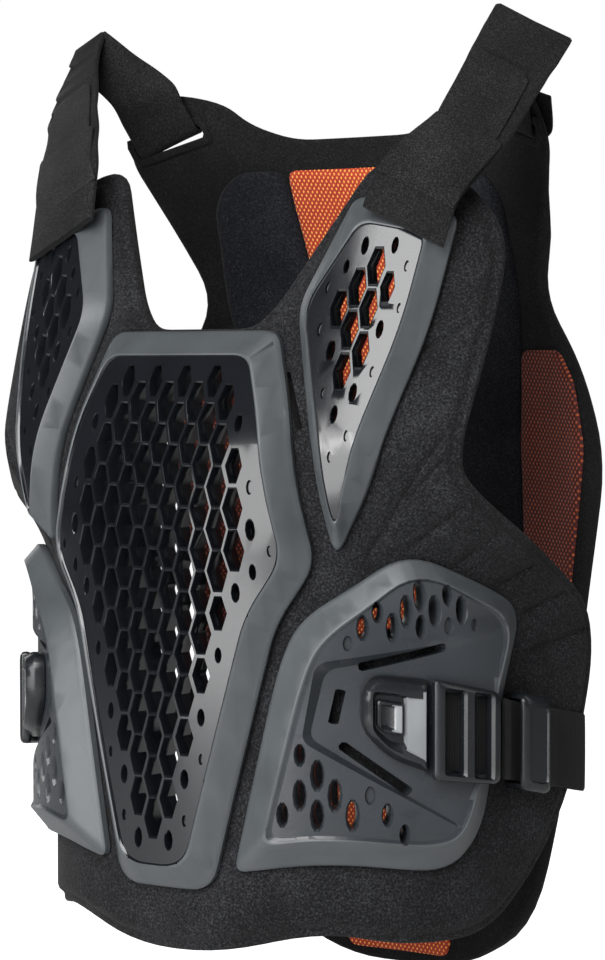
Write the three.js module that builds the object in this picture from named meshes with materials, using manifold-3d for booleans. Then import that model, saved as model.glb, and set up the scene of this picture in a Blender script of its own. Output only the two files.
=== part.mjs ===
// Roost deflector: a chest and back protector for off-road riding, held as it hangs on a rider.
// Millimetres, +Z up, the rider faces -Y and the rider's left is +X. Z = 0 is the shoulder seat.
// Each panel and plate is drawn flat, as (u across, h outward, z up), and then laid on the body form.
import * as THREE from 'three';
import { mergeVertices } from 'three/addons/utils/BufferGeometryUtils.js';
import Module from 'manifold-3d';

const wasm = await Module();
wasm.setup();

// Body form: level sections of chest and waist, and how the top of the chest leans back
const FRONT_REACH = 113;
const CHEST_FORM = { radius: 320, reach: 160, turn: 85, turnReach: 215 };
const WAIST_FORM = { radius: 170, reach: 60, turn: 108, turnReach: 160 };
const WAIST_FROM = -215;
const WAIST_OVER = 95;
const CHEST_LEAN = { from: -270, radius: 210, steepest: 0.33 };
const BACK_REACH = 93;
const BACK_RADIUS = 317;
const BACK_LEAN = { from: -286, radius: 545 };

// Clearances and steps
const GAP = 0.3;
const ROUND_STEPS = 2;
const PLAIN_STEPS = 1;
const SNAP = 1e-4;
const ROUND_SHARE = 0.45;

// Front carrier of padded foam
const FOAM = { inner: -4, outer: 7, soft: 4, edge: 3 };
const FRONT_PANEL = { halfWidth: 241, top: -77, height: 401, corner: 10 };
const WINDOW_LEDGE = 17;

// Moulded plates: outline box, then the section of the shell
const SHELL = { wall: 2.6, foot: 5, crest: 14, field: 12.2, rim: 14, lip: 2.5 };
const CHEST_PLATE = { halfWidth: 78, top: -167, height: 278, corner: 8 };
const UPPER_PLATE = { inner: CHEST_PLATE.halfWidth - 20, width: 72, top: -100, height: 174, corner: 7 };
const LOWER_PLATE = { inner: CHEST_PLATE.halfWidth - 40, width: 144, top: -275, height: 160, corner: 9 };

// Grilles: pointed cells taller than wide, in staggered columns
const CHEST_CELL = { halfWidth: 5, halfHeight: 10.5, pitch: 12.8, rise: 26, margin: 1.5 };
const SIDE_CELL = { halfWidth: 3.8, halfHeight: 8, pitch: 10.6, rise: 21, margin: 1 };
const RIB_CELL = { halfWidth: 2.6, halfHeight: 5, pitch: 9.5, rise: 15, margin: 0.5 };

// Pocket in the lower plate that the buckle stands in
const POCKET = { depth: 4.5, corner: 6, draft: 2, slotWidth: 5 };

// Buckle, keeper and side strap, along a line that drops towards the back
const STRAP_LINE = { from: 115, z: -360, drop: 0.2 };
const SIDE_STRAP = { width: 40, thickness: 2.2 };
const ANCHOR = { from: 94, length: 31, width: 49, height: 12, corner: 6 };
const LADDER = { length: 31, width: 50, height: 6, bar: 5, side: 4.5 };
const KEEPER = { clear: 18, length: 20, width: 49, height: 15, wall: 3.2, corner: 4, bevel: 2 };

// Shoulder strap and its stitched overlay
const SHOULDER_STRAP = { width: 50, thickness: 4, webbing: 2.4, flareRight: 22 };
const SEAT = { across: 137, back: 11, z: -6, drop: 0.5 };
const PATCH = { width: 36, thickness: 1.4, from: 0.3, to: 0.72 };

// Back carrier, its inner padding and mesh, and the plate outside
const BACK_PANEL = { halfWidth: 146, top: -33, height: 485, corner: 12, thickness: 11 };
const EAR_SLOT = { across: 108, z: -58, length: 56, height: 7, tilt: 0.28 };
const LINER = { pad: 5, mesh: 2.6, edge: 7, channelTop: 47, channelMiddle: 40, padWidth: 48, round: 6 };
const BACK_PLATE = { halfWidth: 90, top: -100, height: 370, corner: 14 };
const VENT = { length: 48, height: 8, columns: 2, rows: 4 };

const INK = 0x26282b;
const materials = {
  foam: () => new THREE.MeshStandardMaterial({ color: 0x2b2b2e, roughness: 0.95 }),
  plate: () => new THREE.MeshStandardMaterial({ color: 0x3b3f43, roughness: 0.45 }),
  buckle: () => new THREE.MeshStandardMaterial({ color: INK, roughness: 0.4 }),
  webbing: () => new THREE.MeshStandardMaterial({ color: 0x1b1b1d, roughness: 0.9 }),
  mesh: () => new THREE.MeshStandardMaterial({ color: 0xc03a18, roughness: 0.85 }),
};

// Body form
function bend(u, form) {
  const side = Math.sign(u) || 1;
  const a = Math.abs(u);
  const first = Math.min(a, form.reach) / form.radius;
  const turned = first + Math.max(0, Math.min(a, form.turnReach) - form.reach) / form.turn;
  const beyond = Math.max(0, a - form.turnReach);
  const x = form.radius * Math.sin(first) + form.turn * (Math.sin(turned) - Math.sin(first));
  const y = form.radius * (1 - Math.cos(first)) + form.turn * (Math.cos(first) - Math.cos(turned));
  return {
    x: side * (x + beyond * Math.cos(turned)),
    y: y + beyond * Math.sin(turned),
    angle: side * turned,
  };
}

function chestLean(z) {
  const rise = Math.max(0, z - CHEST_LEAN.from);
  const curved = Math.min(rise, CHEST_LEAN.steepest * CHEST_LEAN.radius);
  return (curved * curved) / (2 * CHEST_LEAN.radius) + (rise - curved) * CHEST_LEAN.steepest;
}

function roundFront(u, z, h) {
  const chest = bend(u, CHEST_FORM);
  const waist = bend(u, WAIST_FORM);
  const t = THREE.MathUtils.smoothstep(WAIST_FROM - z, 0, WAIST_OVER);
  const angle = THREE.MathUtils.lerp(chest.angle, waist.angle, t);
  const x = THREE.MathUtils.lerp(chest.x, waist.x, t) + h * Math.sin(angle);
  const y = THREE.MathUtils.lerp(chest.y, waist.y, t) - h * Math.cos(angle);
  return new THREE.Vector3(x, y - FRONT_REACH + chestLean(z), z);
}

function roundBack(u, z, h) {
  const angle = u / BACK_RADIUS;
  const rise = Math.max(0, z - BACK_LEAN.from);
  const lean = (rise * rise) / (2 * BACK_LEAN.radius);
  const r = BACK_RADIUS + h;
  return new THREE.Vector3(r * Math.sin(angle), BACK_REACH - BACK_RADIUS + r * Math.cos(angle) - lean, z);
}

// The form is flat between its upright and level lines, so pieces laid on it keep their clearance
function evenSteps(from, to, count) {
  return Array.from({ length: count + 1 }, (_, i) => from + ((to - from) * i) / count);
}

const reach = WAIST_FORM.reach;
const turnReach = WAIST_FORM.turnReach;
const frontHalf = [reach / 2, ...evenSteps(reach, turnReach, 3), turnReach * 1.25, turnReach * 2];
const backHalf = [1, 2, 3, 4].map((i) => BACK_RADIUS * 0.16 * i);
const FRONT = {
  round: roundFront,
  outward: -1,
  upright: [...frontHalf.map((u) => -u).reverse(), 0, ...frontHalf],
  level: [-900, ...evenSteps(WAIST_FROM - WAIST_OVER, WAIST_FROM, 3), CHEST_LEAN.from + 70, 300],
  twist: { from: WAIST_FROM - WAIST_OVER, to: WAIST_FROM },
};
const BACK = {
  round: roundBack,
  outward: 1,
  upright: [...backHalf.map((u) => -u).reverse(), 0, ...backHalf],
  level: [-900, ...evenSteps(BACK_LEAN.from, 2 * BACK_PANEL.top - EAR_SLOT.z, 4), 300],
  twist: { from: 0, to: 0 },
};

function spanOf(value, lines) {
  const i = Math.min(Math.max(lines.findIndex((line) => line > value), 1), lines.length - 1);
  const last = value >= lines[lines.length - 1] ? lines.length - 1 : i;
  const [low, high] = [lines[last - 1], lines[last]];
  return { low, high, t: (value - low) / (high - low) };
}

function isTwisted(side, down) {
  return down.low >= side.twist.from - SNAP && down.high <= side.twist.to + SNAP;
}

// Height above the diagonal of a patch, which runs up and outward from its lower inner corner
function diagonal(across, down, u, z) {
  const t = (u - across.low) / (across.high - across.low);
  const outward = across.low >= 0 ? t : 1 - t;
  return (z - down.low) / (down.high - down.low) - outward;
}

function place(side, u, z, h) {
  const across = spanOf(u, side.upright);
  const down = spanOf(z, side.level);
  const at = (x, level) => side.round(x, level, h);
  if (!isTwisted(side, down)) {
    const row = (level) => at(across.low, level).lerp(at(across.high, level), across.t);
    return row(down.low).lerp(row(down.high), down.t);
  }
  const [inner, outer] = across.low >= 0 ? [across.low, across.high] : [across.high, across.low];
  const t = across.low >= 0 ? across.t : 1 - across.t;
  const [near, far, shareNear, shareFar] = down.t > t
    ? [at(inner, down.high), at(outer, down.high), down.t - t, t]
    : [at(outer, down.low), at(outer, down.high), t - down.t, down.t];
  const first = at(inner, down.low).multiplyScalar(1 - shareNear - shareFar);
  return first.addScaledVector(near, shareNear).addScaledVector(far, shareFar);
}

const onFront = (u, z, h) => place(FRONT, u, z, h);
const onBack = (u, z, h) => place(BACK, u, z, h);

// Outlines: corner rows are shares of a box, and each corner is rounded by a curve
function corners(box, rows) {
  const left = box.inner ?? 0;
  const width = box.width ?? box.halfWidth;
  return rows.map((row) => ({
    u: left + row.across * width,
    z: box.top - row.down * box.height,
    round: row.round * box.corner,
    rim: row.rim ?? 1,
  }));
}

function mirrored(list) {
  return list.map((c) => ({ ...c, u: -c.u })).reverse();
}

function bothSides(half) {
  return [...half, ...mirrored(half)];
}

function clockwise(list) {
  const flat = list.map((c) => new THREE.Vector2(c.u, c.z));
  return THREE.ShapeUtils.isClockWise(flat) ? list : [...list].reverse();
}

function insetCorners(list, inset) {
  return list.map((c, i) => {
    const before = list[(i + list.length - 1) % list.length];
    const after = list[(i + 1) % list.length];
    const d1 = new THREE.Vector2(c.u - before.u, c.z - before.z).normalize();
    const d2 = new THREE.Vector2(after.u - c.u, after.z - c.z).normalize();
    const n1 = new THREE.Vector2(d1.y, -d1.x);
    const n2 = new THREE.Vector2(d2.y, -d2.x);
    const reach = (inset * (c.rim ?? 1)) / (1 + n1.dot(n2));
    return { ...c, u: c.u + (n1.x + n2.x) * reach, z: c.z + (n1.y + n2.y) * reach };
  });
}

function softOutline(list, inset = 0, steps = ROUND_STEPS) {
  const moved = insetCorners(clockwise(list), inset);
  const points = [];
  moved.forEach((c, i) => {
    const before = moved[(i + moved.length - 1) % moved.length];
    const after = moved[(i + 1) % moved.length];
    const here = new THREE.Vector2(c.u, c.z);
    const back = new THREE.Vector2(before.u, before.z).sub(here);
    const on = new THREE.Vector2(after.u, after.z).sub(here);
    const startAway = Math.min(c.round, ROUND_SHARE * distance(c, before));
    const endAway = Math.min(c.round, ROUND_SHARE * distance(c, after));
    const start = here.clone().addScaledVector(back.normalize(), startAway);
    const end = here.clone().addScaledVector(on.normalize(), endAway);
    points.push(...new THREE.QuadraticBezierCurve(start, here, end).getPoints(steps));
  });
  return points;
}

function distance(a, b) {
  return Math.hypot(a.u - b.u, a.z - b.z);
}

// Flat solids: a loft through insets of one outline, a prism of shapes, and booleans between them
function toManifold(geometry) {
  const bare = geometry.index ? geometry : geometry.clone();
  bare.deleteAttribute('normal');
  bare.deleteAttribute('uv');
  const merged = mergeVertices(bare, 1e-4);
  return new wasm.Manifold(new wasm.Mesh({
    numProp: 3,
    vertProperties: new Float32Array(merged.attributes.position.array),
    triVerts: new Uint32Array(merged.index.array),
  }));
}

function loft(list, rings, side, steps = ROUND_STEPS) {
  const loops = rings.map((ring) => softOutline(list, ring.inset, steps).map(
    (p) => new THREE.Vector3(p.x, side.outward * ring.h, p.y),
  ));
  const count = loops[0].length;
  const vertices = loops.flat().flatMap((p) => [p.x, p.y, p.z]);
  const faces = [];
  const face = (a, b, c) => faces.push(...(side.outward < 0 ? [a, b, c] : [a, c, b]));
  for (let r = 0; r + 1 < loops.length; r += 1) {
    for (let i = 0; i < count; i += 1) {
      const j = (i + 1) % count;
      const low = r * count;
      const high = low + count;
      face(low + i, high + i, low + j);
      face(low + j, high + i, high + j);
    }
  }
  const cap = (start, top) => {
    const flat = loops[start / count].map((p) => new THREE.Vector2(p.x, p.z));
    for (const [a, b, c] of THREE.ShapeUtils.triangulateShape(flat, [])) {
      if (top) face(start + a, start + b, start + c);
      else face(start + a, start + c, start + b);
    }
  };
  cap(0, false);
  cap(count * (loops.length - 1), true);
  const geometry = new THREE.BufferGeometry();
  geometry.setAttribute('position', new THREE.Float32BufferAttribute(vertices, 3));
  geometry.setIndex(faces);
  return toManifold(geometry);
}

function prism(shapes, low, high, side) {
  const geometry = new THREE.ExtrudeGeometry(shapes, { depth: high - low, bevelEnabled: false });
  geometry.translate(0, 0, side.outward < 0 ? low : -high);
  geometry.rotateX(Math.PI / 2);
  return toManifold(geometry);
}

function shapeOf(points) {
  return new THREE.Shape(points.map((p) => new THREE.Vector2(p.x, p.y)));
}

function cellShape(u, z, cell) {
  const a = cell.halfWidth;
  const b = cell.halfHeight;
  const ring = [[a, 0], [a / 2, b], [-a / 2, b], [-a, 0], [-a / 2, -b], [a / 2, -b]];
  return shapeOf(ring.map(([x, y]) => new THREE.Vector2(u + x, z + y)));
}

function inside(point, ring) {
  let within = false;
  ring.forEach((a, i) => {
    const b = ring[(i + 1) % ring.length];
    const crosses = a.y > point.y !== b.y > point.y;
    if (crosses && point.x < a.x + ((point.y - a.y) / (b.y - a.y)) * (b.x - a.x)) within = !within;
  });
  return within;
}

function cellsWithin(field, cell, centre, z0) {
  const clear = softOutline(field, cell.margin);
  const box = new THREE.Box2().setFromPoints(clear);
  const reach = Math.ceil((box.max.x - box.min.x) / cell.pitch);
  const rows = Math.ceil((box.max.y - box.min.y) / cell.rise) + 1;
  const shapes = [];
  for (let i = -reach; i <= reach; i += 1) {
    for (let j = -rows; j <= rows; j += 1) {
      const u = centre + i * cell.pitch;
      const z = z0 + (j + (i % 2 ? 0.5 : 0)) * cell.rise;
      const shape = cellShape(u, z, cell);
      if (shape.getPoints().every((p) => inside(p, clear))) shapes.push(shape);
    }
  }
  return shapes;
}

function barShape(u, z, length, height, slope = 0) {
  const along = new THREE.Vector2(1, slope).normalize();
  const up = new THREE.Vector2(-along.y, along.x);
  const at = (a, b) => new THREE.Vector2(u, z)
    .addScaledVector(along, (a * length) / 2)
    .addScaledVector(up, (b * height) / 2);
  return shapeOf([at(-0.9, -1), at(0.9, -1), at(1, 0), at(0.9, 1), at(-0.9, 1), at(-1, 0)]);
}

// Laying a flat solid on the body form: its faces are cut along the form's lines, each flat face is
// triangulated afresh, and only then do its corners move
function splitFace(face, height, seam, corners) {
  const level = face.ring.map((p) => height(p.at));
  if (level.every((v) => v <= SNAP) || level.every((v) => v >= -SNAP)) return [face];
  const below = [];
  const above = [];
  face.ring.forEach((a, i) => {
    const k = (i + 1) % face.ring.length;
    const b = face.ring[k];
    if (level[i] <= SNAP) below.push(a);
    if (level[i] >= -SNAP) above.push(a);
    if (level[i] * level[k] < 0 && Math.min(Math.abs(level[i]), Math.abs(level[k])) > SNAP) {
      const key = [Math.min(a.id, b.id), Math.max(a.id, b.id), seam].join(' ');
      if (!corners.cuts.has(key)) {
        const t = level[i] / (level[i] - level[k]);
        const at = a.at.map((value, axis) => value + (b.at[axis] - value) * t);
        corners.cuts.set(key, { id: corners.count, at });
        corners.count += 1;
      }
      below.push(corners.cuts.get(key));
      above.push(corners.cuts.get(key));
    }
  });
  return [below, above].filter((ring) => ring.length > 2).map((ring) => ({ ...face, ring }));
}

function cutAlong(faces, axis, lines, corners) {
  let pieces = faces;
  for (const line of lines) {
    const height = (at) => at[axis] - line;
    pieces = pieces.flatMap((face) => splitFace(face, height, `${axis} ${line}`, corners));
  }
  return pieces;
}

function middleOf(face) {
  const sum = [0, 0, 0];
  for (const p of face.ring) p.at.forEach((value, axis) => { sum[axis] += value / face.ring.length; });
  return sum;
}

function cutDiagonally(faces, side, corners) {
  return faces.flatMap((face) => {
    const middle = middleOf(face);
    const across = spanOf(middle[0], side.upright);
    const down = spanOf(middle[2], side.level);
    const patch = `${across.low} ${down.low}`;
    if (!isTwisted(side, down)) return [{ ...face, patch }];
    const height = (at) => diagonal(across, down, at[0], at[2]);
    return splitFace(face, height, patch, corners).map((piece) => {
      const centre = middleOf(piece);
      return { ...piece, patch: `${patch} ${height(centre) > 0}` };
    });
  });
}

function boundaryLoops(faces) {
  const edges = new Map();
  for (const { ring } of faces) {
    ring.forEach((a, i) => {
      const b = ring[(i + 1) % ring.length];
      if (edges.has(`${b.id} ${a.id}`)) edges.delete(`${b.id} ${a.id}`);
      else edges.set(`${a.id} ${b.id}`, [a, b]);
    });
  }
  const starts = new Map();
  for (const edge of edges.values()) {
    if (!starts.has(edge[0].id)) starts.set(edge[0].id, []);
    starts.get(edge[0].id).push(edge);
  }
  const loops = [];
  for (const edge of edges.values()) {
    const loop = [];
    let step = edge;
    while (step && !step.used) {
      step.used = true;
      loop.push(step[0]);
      step = starts.get(step[1].id).find((next) => !next.used);
    }
    if (loop.length > 2) loops.push(loop);
  }
  return loops;
}

function isStraight(before, here, after) {
  const [a, b, c] = [before, here, after].map((p) => new THREE.Vector3().fromArray(p.at));
  const d1 = b.clone().sub(a).normalize();
  const d2 = c.sub(b).normalize();
  return d1.distanceTo(d2) < SNAP;
}

function neighbours(loop, i) {
  return [loop[(i + loop.length - 1) % loop.length], loop[i], loop[(i + 1) % loop.length]];
}

function flatten(loop, normal) {
  const drop = normal.indexOf(normal.reduce((a, b) => (Math.abs(b) > Math.abs(a) ? b : a)));
  const [x, y] = [[1, 2], [2, 0], [0, 1]][drop];
  const sign = Math.sign(normal[drop]);
  return loop.map((p) => new THREE.Vector2(p.at[x] * sign, p.at[y]));
}

function areaVector(faces) {
  const sum = new THREE.Vector3();
  for (const { ring } of faces) {
    const o = new THREE.Vector3().fromArray(ring[0].at);
    for (let k = 1; k + 1 < ring.length; k += 1) {
      const a = new THREE.Vector3().fromArray(ring[k].at).sub(o);
      sum.add(a.cross(new THREE.Vector3().fromArray(ring[k + 1].at).sub(o)));
    }
  }
  return sum.toArray();
}

function triangulate(loops, normal) {
  const flat = loops.map((loop) => ({ loop, points: flatten(loop, normal) }));
  const rims = flat.filter((f) => THREE.ShapeUtils.area(f.points) > 0);
  const holes = flat.filter((f) => THREE.ShapeUtils.area(f.points) < 0);
  return rims.flatMap((rim) => {
    const inner = holes.filter((hole) => rims.length === 1 || inside(hole.points[0], rim.points));
    const all = [...rim.loop, ...inner.flatMap((hole) => hole.loop)];
    const triangles = THREE.ShapeUtils.triangulateShape(rim.points, inner.map((hole) => hole.points));
    return triangles.map((triangle) => triangle.map((k) => all[k]));
  });
}

function groupBy(list, keyOf) {
  const groups = new Map();
  for (const item of list) {
    const key = keyOf(item);
    if (!groups.has(key)) groups.set(key, []);
    groups.get(key).push(item);
  }
  return [...groups.values()];
}

function flatFaces(solid) {
  const mesh = solid.getMesh();
  const at = (i) => Array.from(mesh.vertProperties.slice(i * mesh.numProp, i * mesh.numProp + 3));
  const count = mesh.vertProperties.length / mesh.numProp;
  const points = Array.from({ length: count }, (_, id) => ({ id, at: at(id) }));
  const faces = [];
  let run = 0;
  for (let i = 0; i < mesh.triVerts.length; i += 3) {
    while (i >= mesh.runIndex[run + 1]) run += 1;
    const ring = [0, 1, 2].map((k) => points[mesh.triVerts[i + k]]);
    faces.push({ ring, plane: `${run} ${mesh.faceID[i / 3]}` });
  }
  return { faces, corners: { count: points.length, cuts: new Map() } };
}

function lay(solid, side) {
  const { faces, corners } = flatFaces(solid);
  let pieces = cutAlong(faces, 0, side.upright, corners);
  pieces = cutDiagonally(cutAlong(pieces, 2, side.level, corners), side, corners);
  const groups = groupBy(pieces, (piece) => `${piece.plane} ${piece.patch}`);
  const outlines = groups.map((group) => ({ normal: areaVector(group), loops: boundaryLoops(group) }));
  const kept = new Set();
  for (const { loops } of outlines) {
    for (const loop of loops) {
      loop.forEach((p, i) => { if (!isStraight(...neighbours(loop, i))) kept.add(p.id); });
    }
  }
  const vertices = [];
  for (const { normal, loops } of outlines) {
    const bare = loops.map((loop) => loop.filter((p) => kept.has(p.id))).filter((loop) => loop.length > 2);
    for (const triangle of triangulate(bare, normal)) {
      for (const { at: [u, y, z] } of triangle) {
        vertices.push(...place(side, u, z, side.outward * y).toArray());
      }
    }
  }
  const geometry = new THREE.BufferGeometry();
  geometry.setAttribute('position', new THREE.Float32BufferAttribute(vertices, 3));
  return mergeVertices(geometry, 1e-3);
}

function reflected(geometry) {
  const copy = geometry.clone();
  copy.scale(-1, 1, 1);
  const index = copy.index.array;
  for (let i = 0; i < index.length; i += 3) {
    [index[i + 1], index[i + 2]] = [index[i + 2], index[i + 1]];
  }
  return copy;
}

// Outlines as shares of their boxes
const frontPanelOutline = bothSides(corners(FRONT_PANEL, [
  { across: 0.13, down: 0.222, round: 1 },
  { across: 0.18, down: 0.19, round: 1 },
  { across: 0.275, down: 0.08, round: 2 },
  { across: 0.34, down: 0.005, round: 1.6 },
  { across: 0.52, down: 0.03, round: 2 },
  { across: 0.645, down: 0.105, round: 2.2 },
  { across: 0.645, down: 0.22, round: 3 },
  { across: 0.615, down: 0.39, round: 2 },
  { across: 0.665, down: 0.425, round: 1.5 },
  { across: 0.98, down: 0.565, round: 2 },
  { across: 1, down: 0.64, round: 2 },
  { across: 0.94, down: 0.8, round: 3 },
  { across: 0.84, down: 0.9, round: 2.5 },
  { across: 0.7, down: 0.98, round: 2.5 },
  { across: 0.5, down: 0.985, round: 3 },
  { across: 0.33, down: 0.965, round: 3 },
  { across: 0.1, down: 1, round: 3 },
]));
const chestPlateOutline = bothSides(corners(CHEST_PLATE, [
  { across: 0.64, down: 0, round: 1 },
  { across: 0.82, down: 0.144, round: 1.6 },
  { across: 1, down: 0.41, round: 1.4 },
  { across: 0.75, down: 0.52, round: 1.5 },
  { across: 0.34, down: 1, round: 1.5 },
]));
const upperPlateOutline = corners(UPPER_PLATE, [
  { across: 0.27, down: 0, round: 1 },
  { across: 1, down: 0.06, round: 1 },
  { across: 0.94, down: 0.385, round: 3 },
  { across: 0.68, down: 0.82, round: 2, rim: 0.9 },
  { across: 0.41, down: 1.03, round: 1.5, rim: 0.4 },
  { across: 0.27, down: 0.7, round: 2, rim: 0.6 },
  { across: 0, down: 0.32, round: 1.5, rim: 0.6 },
]);
const lowerPlateOutline = corners(LOWER_PLATE, [
  { across: 0.22, down: 0.21, round: 1.6 },
  { across: 0.575, down: 0, round: 2.6 },
  { across: 1, down: 0.19, round: 1.6 },
  { across: 0.88, down: 0.57, round: 3 },
  { across: 0.83, down: 0.87, round: 2 },
  { across: 0.7, down: 1, round: 2 },
  { across: 0.31, down: 0.955, round: 3 },
  { across: 0, down: 1, round: 0.8 },
  { across: 0.15, down: 0.36, round: 3 },
]);
const pocketOutline = corners({ ...LOWER_PLATE, corner: POCKET.corner }, [
  { across: 0.27, down: 0.335, round: 1.5 },
  { across: 0.86, down: 0.25, round: 0.5 },
  { across: 0.77, down: 0.6, round: 1 },
  { across: 0.71, down: 0.86, round: 0.5 },
  { across: 0.23, down: 0.58, round: 1 },
]);
const upperFieldOutline = corners({ ...LOWER_PLATE, corner: POCKET.corner }, [
  { across: 0.3, down: 0.285, round: 0.5 },
  { across: 0.57, down: 0.09, round: 1 },
  { across: 0.88, down: 0.2, round: 0.5 },
]);
const lowerFieldOutline = corners({ ...LOWER_PLATE, corner: POCKET.corner }, [
  { across: 0.2, down: 0.58, round: 0.5 },
  { across: 0.62, down: 0.88, round: 0.5 },
  { across: 0.13, down: 0.91, round: 0.5 },
]);
const ribFields = [
  { outline: upperFieldOutline, across: 0.57, down: 0.19 },
  { outline: lowerFieldOutline, across: 0.27, down: 0.76 },
];
const pocketSlots = [
  { across: 0.53, down: 0.35, length: 0.24, slope: 0.17 },
  { across: 0.34, down: 0.45, length: 0.1, slope: 5 },
  { across: 0.45, down: 0.68, length: 0.24, slope: -0.8 },
];
const backPanelOutline = bothSides(corners(BACK_PANEL, [
  { across: 0.27, down: 0.06, round: 1 },
  { across: 0.55, down: 0.04, round: 1.6 },
  { across: 0.72, down: 0, round: 1.2 },
  { across: 0.9, down: 0.02, round: 1.2 },
  { across: 0.95, down: 0.075, round: 0.8 },
  { across: 0.73, down: 0.235, round: 1.5 },
  { across: 0.9, down: 0.315, round: 1.6 },
  { across: 1, down: 0.41, round: 2 },
  { across: 0.9, down: 0.54, round: 3 },
  { across: 0.8, down: 0.77, round: 4 },
  { across: 0.6, down: 0.94, round: 3 },
  { across: 0.25, down: 1, round: 2 },
]));
const backPlateOutline = bothSides(corners(BACK_PLATE, [
  { across: 0.45, down: 0, round: 1 },
  { across: 0.88, down: 0.12, round: 1.4 },
  { across: 1, down: 0.36, round: 2 },
  { across: 0.8, down: 0.72, round: 2 },
  { across: 0.55, down: 0.96, round: 1 },
  { across: 0.3, down: 1, round: 1 },
]));

// Front carrier
function carrierRings(inner, outer) {
  return [
    { inset: FOAM.edge, h: inner },
    { inset: 0, h: (inner + outer) / 2 },
    { inset: FOAM.soft, h: outer },
  ];
}

function windowThrough(outline, ledge, side, inner, outer) {
  return prism([shapeOf(softOutline(outline, ledge, PLAIN_STEPS))], inner - 1, outer + 1, side);
}

function frontPanel() {
  let body = loft(frontPanelOutline, carrierRings(FOAM.inner, FOAM.outer), FRONT);
  const ledge = WINDOW_LEDGE;
  const pairs = [[upperPlateOutline, ledge - 3], [upperFieldOutline, 1], [lowerFieldOutline, 1]];
  body = body.subtract(windowThrough(chestPlateOutline, ledge, FRONT, FOAM.inner, FOAM.outer));
  for (const [outline, inset] of pairs) {
    for (const sided of [outline, mirrored(outline)]) {
      body = body.subtract(windowThrough(sided, inset, FRONT, FOAM.inner, FOAM.outer));
    }
  }
  return lay(body, FRONT);
}

// Moulded shells: a foot, a sloping rim up to a crest, and a field one lip lower
const seat = FOAM.outer + GAP;

function shell(outline, side, base) {
  const outer = loft(outline, [
    { inset: 0, h: base },
    { inset: 0, h: base + SHELL.foot },
    { inset: SHELL.rim, h: base + SHELL.crest },
    { inset: SHELL.rim + SHELL.lip, h: base + SHELL.field },
  ], side);
  const hollow = loft(outline, [
    { inset: SHELL.wall, h: base - 1 },
    { inset: SHELL.wall, h: base + SHELL.foot - SHELL.wall * 0.6 },
    { inset: SHELL.rim + SHELL.lip / 2, h: base + SHELL.field - SHELL.wall },
  ], side);
  return { outer, hollow, top: base + SHELL.crest + 1, base };
}

function chestPlate() {
  const { outer, hollow, top, base } = shell(chestPlateOutline, FRONT, seat);
  const field = insetCorners(clockwise(chestPlateOutline), SHELL.rim + SHELL.lip);
  const cells = cellsWithin(field, CHEST_CELL, 0, CHEST_PLATE.top - CHEST_PLATE.height / 2);
  return lay(outer.subtract(hollow).subtract(prism(cells, base, top, FRONT)), FRONT);
}

function upperPlate() {
  const { outer, hollow, top, base } = shell(upperPlateOutline, FRONT, seat);
  const field = insetCorners(clockwise(upperPlateOutline), SHELL.rim);
  const middle = UPPER_PLATE.inner + UPPER_PLATE.width * 0.55;
  const cells = cellsWithin(field, SIDE_CELL, middle, UPPER_PLATE.top - UPPER_PLATE.height / 3);
  return lay(outer.subtract(hollow).subtract(prism(cells, base, top, FRONT)), FRONT);
}

function strapZ(u) {
  return STRAP_LINE.z - STRAP_LINE.drop * (u - STRAP_LINE.from);
}

function pocketFloor() {
  return seat + SHELL.field - POCKET.depth;
}

function lowerPlate() {
  const { outer, hollow, top, base } = shell(lowerPlateOutline, FRONT, seat);
  const floor = pocketFloor();
  const tray = loft(pocketOutline, [
    { inset: -SHELL.wall, h: floor - SHELL.wall },
    { inset: -SHELL.wall, h: top },
  ], FRONT);
  const pocket = loft(pocketOutline, [
    { inset: POCKET.draft, h: floor },
    { inset: -POCKET.draft / 2, h: top },
  ], FRONT);
  const acrossPlate = (share) => LOWER_PLATE.inner + LOWER_PLATE.width * share;
  const downPlate = (share) => LOWER_PLATE.top - LOWER_PLATE.height * share;
  const cells = ribFields.flatMap(({ outline, across, down }) => (
    cellsWithin(outline, RIB_CELL, acrossPlate(across), downPlate(down))
  ));
  const slots = pocketSlots.map(({ across, down, length, slope }) => (
    barShape(acrossPlate(across), downPlate(down), LOWER_PLATE.width * length, POCKET.slotWidth, slope)
  ));
  const body = outer.subtract(hollow.subtract(tray)).subtract(pocket);
  return lay(body.subtract(prism([...cells, ...slots], base, top, FRONT)), FRONT);
}

// Buckle pieces, drawn along the strap line
function alongStrap(rows, corner) {
  return rows.map((row) => ({ u: row.u, z: strapZ(row.u) + row.side, round: row.round * corner }));
}

function buckleAnchor() {
  const half = ANCHOR.width / 2;
  const end = ANCHOR.from + ANCHOR.length;
  const base = pocketFloor() + GAP;
  const outline = alongStrap([
    { u: ANCHOR.from, side: half * 0.7, round: 1 },
    { u: ANCHOR.from + 6, side: half, round: 1 },
    { u: end, side: half, round: 0.3 },
    { u: end, side: -half, round: 0.3 },
    { u: ANCHOR.from + 10, side: -half * 0.8, round: 1 },
    { u: ANCHOR.from, side: -half * 0.2, round: 1 },
  ], ANCHOR.corner);
  const body = loft(outline, [
    { inset: 0, h: base },
    { inset: 0, h: base + ANCHOR.height / 2 },
    { inset: 3, h: base + ANCHOR.height },
  ], FRONT);
  const recess = loft(outline, [
    { inset: 9, h: base + ANCHOR.height / 2 },
    { inset: 7, h: base + ANCHOR.height + 1 },
  ], FRONT);
  return lay(body.subtract(recess), FRONT);
}

const ladderFrom = ANCHOR.from + ANCHOR.length + GAP;
const ladderEnd = ladderFrom + LADDER.length;
const ladderBase = seat + SHELL.crest + GAP;
const keeperFrom = ladderEnd + KEEPER.clear;

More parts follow.
